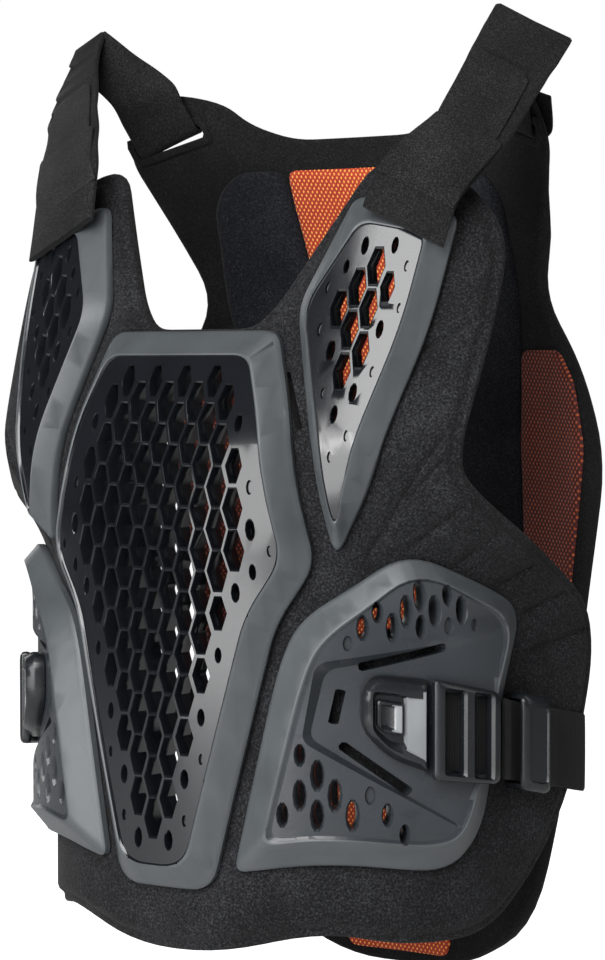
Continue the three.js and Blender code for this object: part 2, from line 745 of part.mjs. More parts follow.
function ladderBuckle() {
  const half = LADDER.width / 2;
  const base = ladderBase;
  const outline = alongStrap([
    { u: ladderFrom, side: half, round: 0.5 },
    { u: ladderEnd, side: half * 0.92, round: 1 },
    { u: ladderEnd, side: -half * 0.92, round: 1 },
    { u: ladderFrom, side: -half, round: 0.5 },
  ], LADDER.bar);
  const frame = loft(outline, [
    { inset: 1, h: base },
    { inset: 0, h: base + LADDER.height / 2 },
    { inset: 1.2, h: base + LADDER.height },
  ], FRONT);
  const pitch = (LADDER.length - LADDER.bar) / 2;
  const gaps = [0, 1].map((i) => {
    const from = ladderFrom + LADDER.bar + i * pitch;
    return shapeOf(softOutline(alongStrap([
      { u: from, side: half - LADDER.side, round: 0.3 },
      { u: from + pitch - LADDER.bar, side: half - LADDER.side, round: 0.3 },
      { u: from + pitch - LADDER.bar, side: LADDER.side - half, round: 0.3 },
      { u: from, side: LADDER.side - half, round: 0.3 },
    ], LADDER.bar)));
  });
  return lay(frame.subtract(prism(gaps, base - 1, base + LADDER.height + 1, FRONT)), FRONT);
}

function rectangle(from, to, half, round) {
  return alongStrap([
    { u: from, side: half, round },
    { u: to, side: half, round },
    { u: to, side: -half, round },
    { u: from, side: -half, round },
  ], 1);
}

function strapKeeper() {
  const half = KEEPER.width / 2;
  const base = seat;
  const top = base + KEEPER.height;
  const outline = rectangle(keeperFrom, keeperFrom + KEEPER.length, half, KEEPER.corner);
  const body = loft(outline, [
    { inset: 0, h: base },
    { inset: 0, h: top - KEEPER.bevel },
    { inset: KEEPER.bevel, h: top },
  ], FRONT);
  const passage = loft(
    rectangle(keeperFrom - 5, keeperFrom + KEEPER.length + 5, half - KEEPER.wall, 0.5),
    [{ inset: 0, h: base + KEEPER.wall * 0.6 }, { inset: 0, h: top - KEEPER.wall }],
    FRONT,
  );
  return lay(body.subtract(passage), FRONT);
}

// Ribbons: a flat band through stations that each give a centre, a direction across and a width
function ribbon(stations, thickness) {
  const vertices = [];
  stations.forEach((station, i) => {
    const before = stations[Math.max(0, i - 1)].centre;
    const after = stations[Math.min(stations.length - 1, i + 1)].centre;
    const along = after.clone().sub(before).normalize();
    const across = station.across.clone().normalize();
    const up = new THREE.Vector3().crossVectors(along, across).normalize();
    const half = station.width / 2;
    const deep = (station.thickness ?? thickness) / 2;
    for (const [a, b] of [[-1, -1], [1, -1], [1, 1], [-1, 1]]) {
      const p = station.centre.clone().addScaledVector(across, a * half).addScaledVector(up, b * deep);
      vertices.push(p.x, p.y, p.z);
    }
  });
  const faces = [0, 1, 2, 0, 2, 3];
  const last = (stations.length - 1) * 4;
  faces.push(last, last + 2, last + 1, last, last + 3, last + 2);
  for (let i = 0; i < last; i += 4) {
    for (let k = 0; k < 4; k += 1) {
      const a = i + k;
      const b = i + ((k + 1) % 4);
      faces.push(a, a + 4, b, b, a + 4, b + 4);
    }
  }
  const geometry = new THREE.BufferGeometry();
  geometry.setAttribute('position', new THREE.Float32BufferAttribute(vertices, 3));
  geometry.setIndex(faces);
  const solid = toManifold(geometry);
  const volume = solid.volume();
  return volume > 0 ? geometry : flipped(geometry);
}

function flipped(geometry) {
  const index = geometry.index.array;
  for (let i = 0; i < index.length; i += 3) {
    [index[i + 1], index[i + 2]] = [index[i + 2], index[i + 1]];
  }
  return geometry;
}

// Side strap: from the ladder down through the keeper, round the flank and on to the back carrier
function sideStrap() {
  const upright = new THREE.Vector3(0, 0, 1);
  const passage = seat + KEEPER.height / 2 - 0.5;
  const flat = FOAM.outer + SIDE_STRAP.thickness / 2 + 0.6;
  const flank = FRONT_PANEL.halfWidth * 0.955;
  const rows = [
    { u: ladderEnd + 2.5, h: ladderBase + LADDER.height / 2 },
    { u: ladderEnd + KEEPER.clear * 0.5, h: passage + 6 },
    { u: keeperFrom - 2, h: passage },
    { u: keeperFrom + KEEPER.length, h: passage },
    { u: keeperFrom + KEEPER.length + 14, h: flat + 0.8 },
    { u: flank, h: flat + 0.6 },
  ];
  const onFlank = rows.map((row) => ({ centre: onFront(row.u, strapZ(row.u), row.h), across: upright }));
  const end = BACK_PLATE.halfWidth + 4;
  const tail = BACK_PANEL.thickness + SIDE_STRAP.thickness / 2 + GAP + 0.3;
  const backRows = [0.84, 0.78, 0.7].map((share) => BACK_PANEL.halfWidth * share).concat(end);
  const level = strapZ(flank);
  const onCarrier = backRows.map((u) => ({ centre: onBack(u, level - 6, tail), across: upright }));
  const from = onFlank[onFlank.length - 1].centre;
  const to = onCarrier[0].centre;
  const bulge = new THREE.Vector3(from.x, to.y, (from.z + to.z) / 2);
  const turn = new THREE.QuadraticBezierCurve3(from, bulge, to).getPoints(5).slice(1, -1);
  const free = turn.map((centre) => ({ centre, across: upright }));
  const stations = [...onFlank, ...free, ...onCarrier].map((s) => ({ ...s, width: SIDE_STRAP.width }));
  return ribbon(stations, SIDE_STRAP.thickness);
}

// Shoulder strap: from over the upper plate to a sharp fold at the seat, then through the ear slot
function earPoint(along, down, h) {
  const c = Math.cos(EAR_SLOT.tilt);
  const s = Math.sin(EAR_SLOT.tilt);
  return onBack(EAR_SLOT.across + along * c - down * s, EAR_SLOT.z - along * s - down * c, h);
}

// The webbing end, down from the slot's middle and out from the carrier's inner face
const earLoop = [
  { down: -28, h: -7 },
  { down: -15, h: -5 },
  { down: -EAR_SLOT.height / 2 - 2, h: -4.4 },
  { down: 0.4, h: -1.8 },
  { down: 1.2, h: BACK_PANEL.thickness / 2 },
  { down: 0.4, h: BACK_PANEL.thickness + 0.4 },
  { down: -EAR_SLOT.height / 2 - 1, h: BACK_PANEL.thickness + 2.4 },
  { down: -18, h: BACK_PANEL.thickness + 2.4 },
];

function strapPath(flare) {
  const plateTop = seat + SHELL.crest + SHOULDER_STRAP.thickness / 2 + GAP * 3;
  const slant = new THREE.Vector3(0.86, 0.25, -0.45).normalize();
  const seatSlant = new THREE.Vector3(1, 0.05, -SEAT.drop).normalize();
  const seatPoint = new THREE.Vector3(SEAT.across + flare, SEAT.back, SEAT.z);
  const earSlant = earPoint(1, 0, 0).sub(earPoint(-1, 0, 0)).normalize();
  const low = onFront(UPPER_PLATE.inner + 44, UPPER_PLATE.top - 15, plateTop);
  const rise = onFront(UPPER_PLATE.inner + 50, UPPER_PLATE.top + 8, plateTop - 1);
  const front = [0.25, 0.5, 0.75].map((t) => rise.clone().lerp(seatPoint, t));
  const wide = SHOULDER_STRAP.width;
  const narrow = EAR_SLOT.length - 6;
  const ear = earLoop.map(({ down, h }) => earPoint(0, down, h));
  return [
    { centre: low, across: slant, width: wide - 6 },
    { centre: rise, across: slant, width: wide - 2 },
    ...front.map((centre) => ({ centre, across: seatSlant, width: wide })),
    { centre: seatPoint, across: seatSlant, width: wide },
    { centre: seatPoint.clone().lerp(ear[0], 0.4), across: seatSlant, width: wide },
    ...ear.map((centre) => ({ centre, across: earSlant, width: narrow, thickness: SHOULDER_STRAP.webbing })),
  ];
}

function shoulderStrap(flare) {
  return ribbon(strapPath(flare), SHOULDER_STRAP.thickness);
}

function strapPatch(flare) {
  const path = strapPath(flare);
  const from = path[1];
  const to = path[5];
  const along = to.centre.clone().sub(from.centre).normalize();
  const up = new THREE.Vector3().crossVectors(along, to.across).normalize();
  const outward = up.y < 0 ? up : up.negate();
  const lift = (SHOULDER_STRAP.thickness + PATCH.thickness) / 2 + GAP * 1.5;
  const stations = [PATCH.from, (PATCH.from + PATCH.to) / 2, PATCH.to].map((t) => ({
    centre: from.centre.clone().lerp(to.centre, t).addScaledVector(outward, lift),
    across: to.across,
    width: PATCH.width,
  }));
  return ribbon(stations, PATCH.thickness);
}

// Back carrier and its linings
function backPanel() {
  const body = loft(backPanelOutline, carrierRings(0, BACK_PANEL.thickness), BACK);
  const ears = [1, -1].map((side) => barShape(
    side * EAR_SLOT.across,
    EAR_SLOT.z,
    EAR_SLOT.length,
    EAR_SLOT.height,
    -side * Math.tan(EAR_SLOT.tilt),
  ));
  return lay(body.subtract(prism(ears, -1, BACK_PANEL.thickness + 1, BACK)), BACK);
}

function linerPiece(outline, thickness) {
  const soft = thickness / 3;
  return lay(loft(outline, [
    { inset: soft, h: -thickness - GAP },
    { inset: 0, h: -GAP },
  ], BACK, PLAIN_STEPS), BACK);
}

function band(rows) {
  const inner = rows.map((row) => ({ u: row.inner, z: row.z, round: LINER.round }));
  const outer = rows.map((row) => ({ u: row.outer, z: row.z, round: LINER.round })).reverse();
  return [...inner, ...outer];
}

function linerRows() {
  const top = BACK_PANEL.top;
  const tall = BACK_PANEL.height;
  const { channelTop, channelMiddle, padWidth } = LINER;
  return [
    { z: top - tall * 0.09, inner: channelTop, outer: channelTop + padWidth * 0.65 },
    { z: top - tall * 0.125, inner: channelTop, outer: channelTop + padWidth },
    { z: top - tall * 0.235, inner: channelMiddle + 2, outer: channelMiddle + padWidth * 1.2 },
    { z: top - tall * 0.4, inner: channelMiddle, outer: channelMiddle + padWidth },
    { z: top - tall * 0.65, inner: channelMiddle + 4, outer: channelMiddle + padWidth },
    { z: top - tall * 0.88, inner: channelMiddle, outer: channelMiddle + padWidth * 0.7 },
  ];
}

function backPad() {
  return linerPiece(band(linerRows()), LINER.pad);
}

function backMeshCentre() {
  const rows = linerRows();
  const foot = BACK_PANEL.top - BACK_PANEL.height + LINER.edge;
  const half = rows.map((row) => ({ u: row.inner - GAP * 2, z: row.z, round: LINER.round }));
  const last = { u: LINER.channelMiddle - LINER.edge, z: foot, round: LINER.round };
  return linerPiece(bothSides([...half, last]), LINER.mesh);
}

function padEdge(z) {
  const rows = linerRows();
  const i = Math.max(1, rows.findIndex((row) => row.z <= z));
  const t = (z - rows[i - 1].z) / (rows[i].z - rows[i - 1].z);
  return THREE.MathUtils.lerp(rows[i - 1].outer, rows[i].outer, t);
}

function backMeshWing() {
  const wing = [
    { down: 0.295, across: 0.8 },
    { down: 0.33, across: 0.88 },
    { down: 0.4, across: 0.93 },
    { down: 0.5, across: 0.87 },
    { down: 0.65, across: 0.78 },
  ];
  const rows = wing.map(({ down, across }) => {
    const z = BACK_PANEL.top - BACK_PANEL.height * down;
    return { z, inner: padEdge(z) + GAP * 3, outer: BACK_PANEL.halfWidth * across };
  });
  return linerPiece(band(rows), LINER.mesh);
}

function backPlate() {
  const base = BACK_PANEL.thickness + GAP;
  const { outer, hollow, top } = shell(backPlateOutline, BACK, base);
  const shapes = [];
  const step = BACK_PLATE.height / (VENT.rows + 2);
  for (let row = 0; row < VENT.rows; row += 1) {
    for (let column = 0; column < VENT.columns; column += 1) {
      const side = column ? 1 : -1;
      const z = BACK_PLATE.top - step * (row + 1.3);
      const length = VENT.length * (1 - 0.09 * row);
      shapes.push(barShape(side * (length / 2 + VENT.height), z, length, VENT.height, side * 0.35));
    }
  }
  return lay(outer.subtract(hollow).subtract(prism(shapes, base, top, BACK)), BACK);
}

// Assembly
const part = new THREE.Group();

function add(name, geometry, material) {
  const mesh = new THREE.Mesh(geometry, material);
  mesh.name = name;
  part.add(mesh);
}

function addPair(name, geometry, material) {
  add(`${name}_left`, geometry, material());
  add(`${name}_right`, reflected(geometry), material());
}

add('front_panel', frontPanel(), materials.foam());
add('chest_plate', chestPlate(), materials.plate());
addPair('upper_plate', upperPlate(), materials.plate);
addPair('lower_plate', lowerPlate(), materials.plate);
addPair('buckle_anchor', buckleAnchor(), materials.buckle);
addPair('ladder_buckle', ladderBuckle(), materials.buckle);
addPair('strap_keeper', strapKeeper(), materials.buckle);
addPair('side_strap', sideStrap(), materials.webbing);
add('shoulder_strap_left', shoulderStrap(0), materials.webbing());
add('shoulder_strap_right', reflected(shoulderStrap(SHOULDER_STRAP.flareRight)), materials.webbing());
add('strap_patch_left', strapPatch(0), materials.webbing());
add('strap_patch_right', reflected(strapPatch(SHOULDER_STRAP.flareRight)), materials.webbing());
add('back_panel', backPanel(), materials.foam());
addPair('back_pad', backPad(), materials.foam);
add('back_mesh_centre', backMeshCentre(), materials.mesh());
addPair('back_mesh', backMeshWing(), materials.mesh);
add('back_plate', backPlate(), materials.plate());

export default part;
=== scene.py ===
"""Roost deflector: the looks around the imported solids. Lengths in millimetres until a piece is laid."""
import math

import bmesh
import bpy
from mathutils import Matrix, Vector


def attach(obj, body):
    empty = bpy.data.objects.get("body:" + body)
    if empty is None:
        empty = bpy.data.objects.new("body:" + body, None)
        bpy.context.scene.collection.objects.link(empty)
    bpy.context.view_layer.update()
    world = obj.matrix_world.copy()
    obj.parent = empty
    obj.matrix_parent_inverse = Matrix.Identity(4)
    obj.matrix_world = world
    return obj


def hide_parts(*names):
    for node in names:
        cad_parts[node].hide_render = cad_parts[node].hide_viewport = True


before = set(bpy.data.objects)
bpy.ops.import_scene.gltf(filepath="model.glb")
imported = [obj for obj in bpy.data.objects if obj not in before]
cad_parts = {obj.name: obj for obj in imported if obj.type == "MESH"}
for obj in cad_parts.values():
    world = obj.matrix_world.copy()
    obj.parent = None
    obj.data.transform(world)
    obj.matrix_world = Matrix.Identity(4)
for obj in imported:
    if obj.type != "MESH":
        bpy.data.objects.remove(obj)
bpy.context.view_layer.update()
MM = 0.001

# Body form, the same as the solids lie on
FRONT_REACH = 113
CHEST_FORM = {"radius": 320, "reach": 160, "turn": 85, "turn_reach": 215}
WAIST_FORM = {"radius": 170, "reach": 60, "turn": 108, "turn_reach": 160}
WAIST_FROM = -215
WAIST_OVER = 95
LEAN = {"from": -270, "radius": 210, "steepest": 0.33}
BACK_REACH = 93
BACK_RADIUS = 317
BACK_LEAN = {"from": -286, "radius": 545}


def bend(u, form):
    side = -1 if u < 0 else 1
    a = abs(u)
    first = min(a, form["reach"]) / form["radius"]
    turned = first + max(0, min(a, form["turn_reach"]) - form["reach"]) / form["turn"]
    beyond = max(0, a - form["turn_reach"])
    x = form["radius"] * math.sin(first) + form["turn"] * (math.sin(turned) - math.sin(first))
    y = form["radius"] * (1 - math.cos(first)) + form["turn"] * (math.cos(first) - math.cos(turned))
    return side * (x + beyond * math.cos(turned)), y + beyond * math.sin(turned), side * turned


def chest_lean(z):
    rise = max(0, z - LEAN["from"])
    curved = min(rise, LEAN["steepest"] * LEAN["radius"])
    return curved * curved / (2 * LEAN["radius"]) + (rise - curved) * LEAN["steepest"]


def mix(a, b, t):
    return a + (b - a) * t


def smooth(t):
    t = min(max(t, 0), 1)
    return t * t * (3 - 2 * t)


def on_front(u, z, h):
    chest, waist = bend(u, CHEST_FORM), bend(u, WAIST_FORM)
    t = smooth((WAIST_FROM - z) / WAIST_OVER)
    x, y, angle = (mix(c, w, t) for c, w in zip(chest, waist))
    return Vector((x + h * math.sin(angle), y - FRONT_REACH + chest_lean(z) - h * math.cos(angle), z))


def on_back(u, z, h):
    angle = u / BACK_RADIUS
    rise = max(0, z - BACK_LEAN["from"])
    r = BACK_RADIUS + h
    y = BACK_REACH - BACK_RADIUS + r * math.cos(angle) - rise * rise / (2 * BACK_LEAN["radius"])
    return Vector((r * math.sin(angle), y, z))


# Sizes shared with the solids
SEAT = 7.3
FRONT_PANEL = {"width": 241, "top": -77, "height": 401, "corner": 10}
CHEST_PLATE = {"width": 78, "top": -167, "height": 278, "corner": 8}
UPPER_PLATE = {"inner": 58, "width": 72, "top": -100, "height": 174, "corner": 7}
LOWER_PLATE = {"inner": 38, "width": 144, "top": -275, "height": 160, "corner": 9}
BACK_PANEL = {"width": 146, "top": -33, "height": 485, "corner": 12}
BACK_PLATE = {"width": 90, "top": -100, "height": 370, "corner": 14}
EAR = {"across": 113, "z": -59.4, "length": 42, "height": 6.5, "tilt": 0.28}
PANEL_THICKNESS = 11
CREST = 14
FIELD = 12.6
FRONT_FOAM = {"back": -4, "face": 7, "grooved_above": 6.5}
WEBBING = {"width": 40.0, "thick": 2.2, "clear": 0.6}

# Outlines: across, down and round as shares of the box, and how far the corner follows an inset
FRONT_ROWS = [
    (0.13, 0.222, 1), (0.18, 0.19, 1), (0.275, 0.08, 2), (0.34, 0.005, 1.6), (0.52, 0.03, 2),
    (0.645, 0.105, 2.2), (0.645, 0.22, 3), (0.615, 0.39, 2), (0.665, 0.425, 1.5), (0.98, 0.565, 2),
    (1, 0.64, 2), (0.94, 0.8, 3), (0.84, 0.9, 2.5), (0.7, 0.98, 2.5), (0.5, 0.985, 3),
    (0.33, 0.965, 3), (0.1, 1, 3),
]
CHEST_ROWS = [(0.64, 0, 1), (0.82, 0.144, 1.6), (1, 0.41, 1.4), (0.75, 0.52, 1.5), (0.34, 1, 1.5)]
UPPER_ROWS = [
    (0.27, 0, 1), (1, 0.06, 1), (0.94, 0.385, 3), (0.68, 0.82, 2, 0.9), (0.41, 1.03, 1.5, 0.4),
    (0.27, 0.7, 2, 0.6), (0, 0.32, 1.5, 0.6),
]
LOWER_ROWS = [
    (0.22, 0.21, 1.6), (0.575, 0, 1.9, 0.55), (1, 0.19, 1.6, 0.9), (0.88, 0.57, 3), (0.83, 0.87, 2),
    (0.7, 1, 2), (0.31, 0.955, 3), (0, 1, 0.8), (0.15, 0.36, 3),
]
POCKET_ROWS = [
    (0.27, 0.335, 1, 1), (0.86, 0.25, 0.4, 0.6), (0.82, 0.6, 1, 0.3), (0.71, 0.86, 0.4, 0.3),
    (0.23, 0.58, 0.8, 0.6),
]
RIB_UPPER_ROWS = [(0.3, 0.285, 0.5), (0.57, 0.09, 1), (0.88, 0.2, 0.5)]
RIB_LOWER_ROWS = [(0.2, 0.58, 0.5), (0.62, 0.88, 0.5), (0.13, 0.91, 0.5)]
BACK_ROWS = [
    (0.27, 0.056, 1), (0.44, 0.038, 2), (0.53, 0.012, 1.2), (0.74, 0, 1.2), (0.9, 0.02, 1.2),
    (0.95, 0.075, 0.8), (0.73, 0.235, 1.5), (0.9, 0.315, 1.6), (1, 0.41, 2), (0.9, 0.54, 3),
    (0.765, 0.77, 4), (0.6, 0.94, 3), (0.25, 1, 2),
]
BACK_PLATE_ROWS = [
    (0.45, 0, 1), (0.88, 0.12, 1.4), (1, 0.36, 2), (0.8, 0.72, 2), (0.55, 0.96, 1), (0.3, 1, 1),
]


def corners(box, rows):
    left = box.get("inner", 0)
    return [
        {
            "u": left + row[0] * box["width"],
            "z": box["top"] - row[1] * box["height"],
            "round": row[2] * box["corner"],
            "rim": row[3] if len(row) > 3 else 1,
        }
        for row in rows
    ]


def flipped(rows):
    return [{**c, "u": -c["u"]} for c in reversed(rows)]


def both_sides(half):
    return half + flipped(half)


def area(rows):
    return sum(a["u"] * b["z"] - b["u"] * a["z"] for a, b in zip(rows, rows[1:] + rows[:1])) / 2


def clockwise(rows):
    return rows if area(rows) < 0 else rows[::-1]


def inset_corners(rows, inset):
    moved = []
    for i, c in enumerate(rows):
        before, after = rows[i - 1], rows[(i + 1) % len(rows)]
        d1 = Vector((c["u"] - before["u"], c["z"] - before["z"])).normalized()
        d2 = Vector((after["u"] - c["u"], after["z"] - c["z"])).normalized()
        n1, n2 = Vector((d1.y, -d1.x)), Vector((d2.y, -d2.x))
        reach = inset * c["rim"] / (1 + n1.dot(n2))
        moved.append({**c, "u": c["u"] + (n1.x + n2.x) * reach, "z": c["z"] + (n1.y + n2.y) * reach})
    return moved


def outline(rows, inset=0, steps=5):
    """Points (u, z) round the corners, each rounded by a curve."""
    moved = inset_corners(clockwise(rows), inset)
    points = []
    for i, c in enumerate(moved):
        here = Vector((c["u"], c["z"]))
        before = Vector((moved[i - 1]["u"], moved[i - 1]["z"])) - here
        after = Vector((moved[(i + 1) % len(moved)]["u"], moved[(i + 1) % len(moved)]["z"])) - here
        start = here + before.normalized() * min(c["round"], 0.45 * before.length)
        end = here + after.normalized() * min(c["round"], 0.45 * after.length)
        for k in range(steps + 1):
            t = k / steps
            points.append(start * (1 - t) ** 2 + here * (2 * t * (1 - t)) + end * t * t)
    return points


def border(rows, inset=0):
    return [(p.x, p.y) for p in outline(rows, inset)]


def within(u, z, ring):
    inside = False
    for a, b in zip(ring, ring[1:] + ring[:1]):
        if (a[1] > z) != (b[1] > z) and u < a[0] + (z - a[1]) / (b[1] - a[1]) * (b[0] - a[0]):
            inside = not inside
    return inside


def edge_distance(u, z, ring):
    nearest = 1e9
    here = Vector((u, z))
    for a, b in zip(ring, ring[1:] + ring[:1]):
        start, run = Vector(a), Vector(b) - Vector(a)
        if run.length_squared > 0:
            t = min(max((here - start).dot(run) / run.length_squared, 0), 1)
            nearest = min(nearest, (here - start - run * t).length)
    return nearest


# Flat meshes: x is across, y is height off the form, z is up
def add_loop(bm, points, h):
    verts = [bm.verts.new((p[0], h(p[0], p[1]) if callable(h) else h, p[1])) for p in points]
    return [bm.edges.new((a, b)) for a, b in zip(verts, verts[1:] + verts[:1])]


def add_loft(bm, rings):
    loops = [add_loop(bm, points, h) for points, h in rings]
    for low, high in zip(loops, loops[1:]):
        bmesh.ops.bridge_loops(bm, edges=low + high)
    for end in (loops[0], loops[-1]):
        bmesh.ops.contextual_create(bm, geom=end)


def loft(rings):
    bm = bmesh.new()
    add_loft(bm, rings)
    bmesh.ops.recalc_face_normals(bm, faces=bm.faces)
    return bm


def insets(rows, levels, steps=5):
    return loft([(outline(rows, inset, steps), h) for inset, h in levels])


def as_object(bm, name):
    mesh = bpy.data.meshes.new(name)
    bm.to_mesh(mesh)
    bm.free()
    obj = bpy.data.objects.new(name, mesh)
    bpy.context.scene.collection.objects.link(obj)
    return obj


def as_bmesh(obj):
    graph = bpy.context.evaluated_depsgraph_get()
    bm = bmesh.new()
    bm.from_object(obj, graph)
    mesh = obj.data
    bpy.data.objects.remove(obj)
    bpy.data.meshes.remove(mesh)
    return bm


def cut(bm, cutter):
    """The first mesh less the second one."""
    bmesh.ops.recalc_face_normals(cutter, faces=cutter.faces)
    body, tool = as_object(bm, "body_flat"), as_object(cutter, "cutter_flat")
    modifier = body.modifiers.new("cut", "BOOLEAN")
    modifier.operation = "DIFFERENCE"
    modifier.solver = "EXACT"
    modifier.use_self = True
    modifier.object = tool
    bpy.context.view_layer.update()
    result = as_bmesh(body)
    mesh = tool.data
    bpy.data.objects.remove(tool)
    bpy.data.meshes.remove(mesh)
    return result


def slice_flat(bm, step_u, step_z):
    """Cuts the mesh across and along so that it can bend with the body's form."""
    us = [v.co.x for v in bm.verts]
    zs = [v.co.z for v in bm.verts]
    for low, high, step, axis in ((min(us), max(us), step_u, 0), (min(zs), max(zs), step_z, 2)):
        count = int((high - low) / step)
        for i in range(1, count + 1):
            at, normal = [0, 0, 0], [0, 0, 0]
            at[axis] = low + (high - low) * i / (count + 1)
            normal[axis] = 1
            geom = bm.verts[:] + bm.edges[:] + bm.faces[:]
            bmesh.ops.bisect_plane(bm, geom=geom, plane_co=at, plane_no=normal, dist=0.001)


def lay(bm, place):
    """Bends the flat mesh onto the body and keeps the flat place for the cloth patterns."""
    flat = bm.verts.layers.float_vector.new("flat")
    for v in bm.verts:
        v[flat] = v.co * MM
        v.co = place(v.co.x, v.co.z, v.co.y) * MM
    bmesh.ops.recalc_face_normals(bm, faces=bm.faces)


def piece(name, bm, materials, slot, replaced=(), sharp=35, soft=None):
    obj = as_object(bm, name)
    mesh = obj.data
    for material in materials:
        mesh.materials.append(material)
    mesh.shade_smooth()
    mesh.set_sharp_from_angle(angle=math.radians(sharp))
    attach(obj, "root")
    if replaced:
        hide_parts(*replaced)
    return obj


def mirror_mesh(bm):
    other = bm.copy()
    bmesh.ops.scale(other, vec=(-1, 1, 1), verts=other.verts)
    bmesh.ops.reverse_faces(other, faces=other.faces)
    return other


def mirrored_now(bm):
    other = mirror_mesh(bm)
    bm.free()
    return other


def pair(name, bm, materials, slot, node=None, **more):
    other = mirror_mesh(bm)
    for side, mesh in (("left", bm), ("right", other)):
        piece(f"{name}_{side}", mesh, materials, slot, [f"{node}_{side}"] if node else (), **more)


# Materials
def new_material(name, color, roughness, **sockets):
    material = bpy.data.materials.new(name)
    material.use_nodes = True
    shader = material.node_tree.nodes["Principled BSDF"]
    shader.inputs["Base Color"].default_value = (*color, 1)
    shader.inputs["Roughness"].default_value = roughness
    for key, value in sockets.items():
        shader.inputs[key.replace("_", " ")].default_value = value
    return material, material.node_tree, shader


def node(tree, kind, inputs=None, **settings):
    made = tree.nodes.new(kind)
    for key, value in settings.items():
        setattr(made, key, value)
    for key, value in (inputs or {}).items():
        if isinstance(value, bpy.types.NodeSocket):
            tree.links.new(value, made.inputs[key])
        else:
            made.inputs[key].default_value = value
    return made


def coordinates(tree, attribute=None, rotation=(0, 0, 0)):
    if attribute:
        source = node(tree, "ShaderNodeAttribute", attribute_name=attribute).outputs["Vector"]
    else:
        source = node(tree, "ShaderNodeTexCoord").outputs["Object"]
    inputs = {"Vector": source, "Rotation": rotation}
    return node(tree, "ShaderNodeMapping", inputs).outputs[0]


def noise(tree, vector, scale, detail=2, roughness=0.5):
    inputs = {"Vector": vector, "Scale": scale, "Detail": detail, "Roughness": roughness}
    return node(tree, "ShaderNodeTexNoise", inputs).outputs["Fac"]


def ramp(tree, fac, stops):
    made = node(tree, "ShaderNodeValToRGB", {"Fac": fac})
    elements = made.color_ramp.elements
    while len(elements) < len(stops):
        elements.new(0.5)
    for element, (at, color) in zip(elements, stops):
        element.position = at
        element.color = (*color, 1)
    return made.outputs["Color"]


def maths(tree, operation, a, b=0.0, c=0.0):
    return node(tree, "ShaderNodeMath", {0: a, 1: b, 2: c}, operation=operation).outputs[0]


def bump(tree, shader, height, strength, distance):
    made = node(tree, "ShaderNodeBump", {"Height": height, "Strength": strength, "Distance": distance})
    tree.links.new(made.outputs["Normal"], shader.inputs["Normal"])


def speckled_cloth(name, dark, light, size=900, worn=0.3):
    """Brushed carrier cloth: dark fibres with fine light specks."""
    material, tree, shader = new_material(name, dark, 0.92, Sheen_Weight=0.04, Sheen_Roughness=0.5,
                                          Specular_IOR_Level=0.22)
    at = coordinates(tree)
    fibres = noise(tree, at, size, 3, 0.7)
    patches = noise(tree, at, 28, 2)
    mixed = maths(tree, "MULTIPLY_ADD", patches, 0.25, fibres)
    between = tuple(mix(a, b, worn) for a, b in zip(dark, light))
    specks = ramp(tree, mixed, [(0.54, dark), (0.68, between), (0.84, light)])
    tree.links.new(specks, shader.inputs["Base Color"])
    bump(tree, shader, fibres, 0.5, 0.0006)
    return material


def moulded_plastic(name, color, roughness, grain, coat=0.0):
    """Moulded plastic with a fine spark grain and faint flow variation."""
    material, tree, shader = new_material(name, color, roughness, Coat_Weight=coat, Coat_Roughness=0.12)
    at = coordinates(tree)
    fine = noise(tree, at, 1500, 2, 0.6)
    broad = noise(tree, at, 35, 3)
    lighter = tuple(min(1, c * 1.35) for c in color)
    tree.links.new(ramp(tree, broad, [(0.3, color), (0.75, lighter)]), shader.inputs["Base Color"])
    limits = {"Value": broad, "To Min": roughness * 0.85, "To Max": roughness * 1.2}
    spread = node(tree, "ShaderNodeMapRange", limits)
    tree.links.new(spread.outputs[0], shader.inputs["Roughness"])
    bump(tree, shader, fine, grain, 0.0002)
    return material


# The wave texture's own scale: a wave every millimetre
WAVE_SCALE = 1000 * 2 * math.pi / 20


def waves(tree, vector, pitch):
    inputs = {"Vector": vector, "Scale": WAVE_SCALE / pitch}
    return node(tree, "ShaderNodeTexWave", inputs, wave_type="BANDS", bands_direction="X").outputs["Fac"]


# The knit's two rib directions, in degrees
KNIT_TURNS = (32, -38)


def spacer_mesh(name, deep, base, glint, pitch=2.3):
    """Open knit spacer mesh: two crossed diagonal ribs, with painted shade in the pores between them and a
    painted highlight on the rib crests.
    """
    material, tree, shader = new_material(name, base, 0.75, Sheen_Weight=0.1)
    one, two = (
        waves(tree, coordinates(tree, "flat", rotation=(0, math.radians(turn), 0)), pitch)
        for turn in KNIT_TURNS
    )
    knit = maths(tree, "MULTIPLY", one, two)
    patches = noise(tree, coordinates(tree), 30, 2)
    value = maths(tree, "MULTIPLY_ADD", patches, 0.25, knit)
    # Painted light: the first colour is painted shade in the pores, the last a painted highlight on the rib
    # crests.
    color = ramp(tree, value, [(0.15, deep), (0.55, base), (1.0, glint)])
    tree.links.new(color, shader.inputs["Base Color"])
    bump(tree, shader, knit, 0.8, 0.0008)
    return material


def ribbed_webbing(name, dark, light, pitch):
    """Woven strap: ribs across the run, and a twill of fine specks."""
    material, tree, shader = new_material(name, dark, 0.8, Sheen_Weight=0.03, Specular_IOR_Level=0.3)
    ribs = waves(tree, coordinates(tree, "run"), pitch)
    specks = noise(tree, coordinates(tree), 1100, 2, 0.7)
    value = maths(tree, "MULTIPLY_ADD", ribs, 0.35, maths(tree, "MULTIPLY", specks, 0.7))
    tree.links.new(ramp(tree, value, [(0.35, dark), (0.8, light)]), shader.inputs["Base Color"])
    bump(tree, shader, maths(tree, "ADD", ribs, specks), 0.5, 0.0004)
    return material


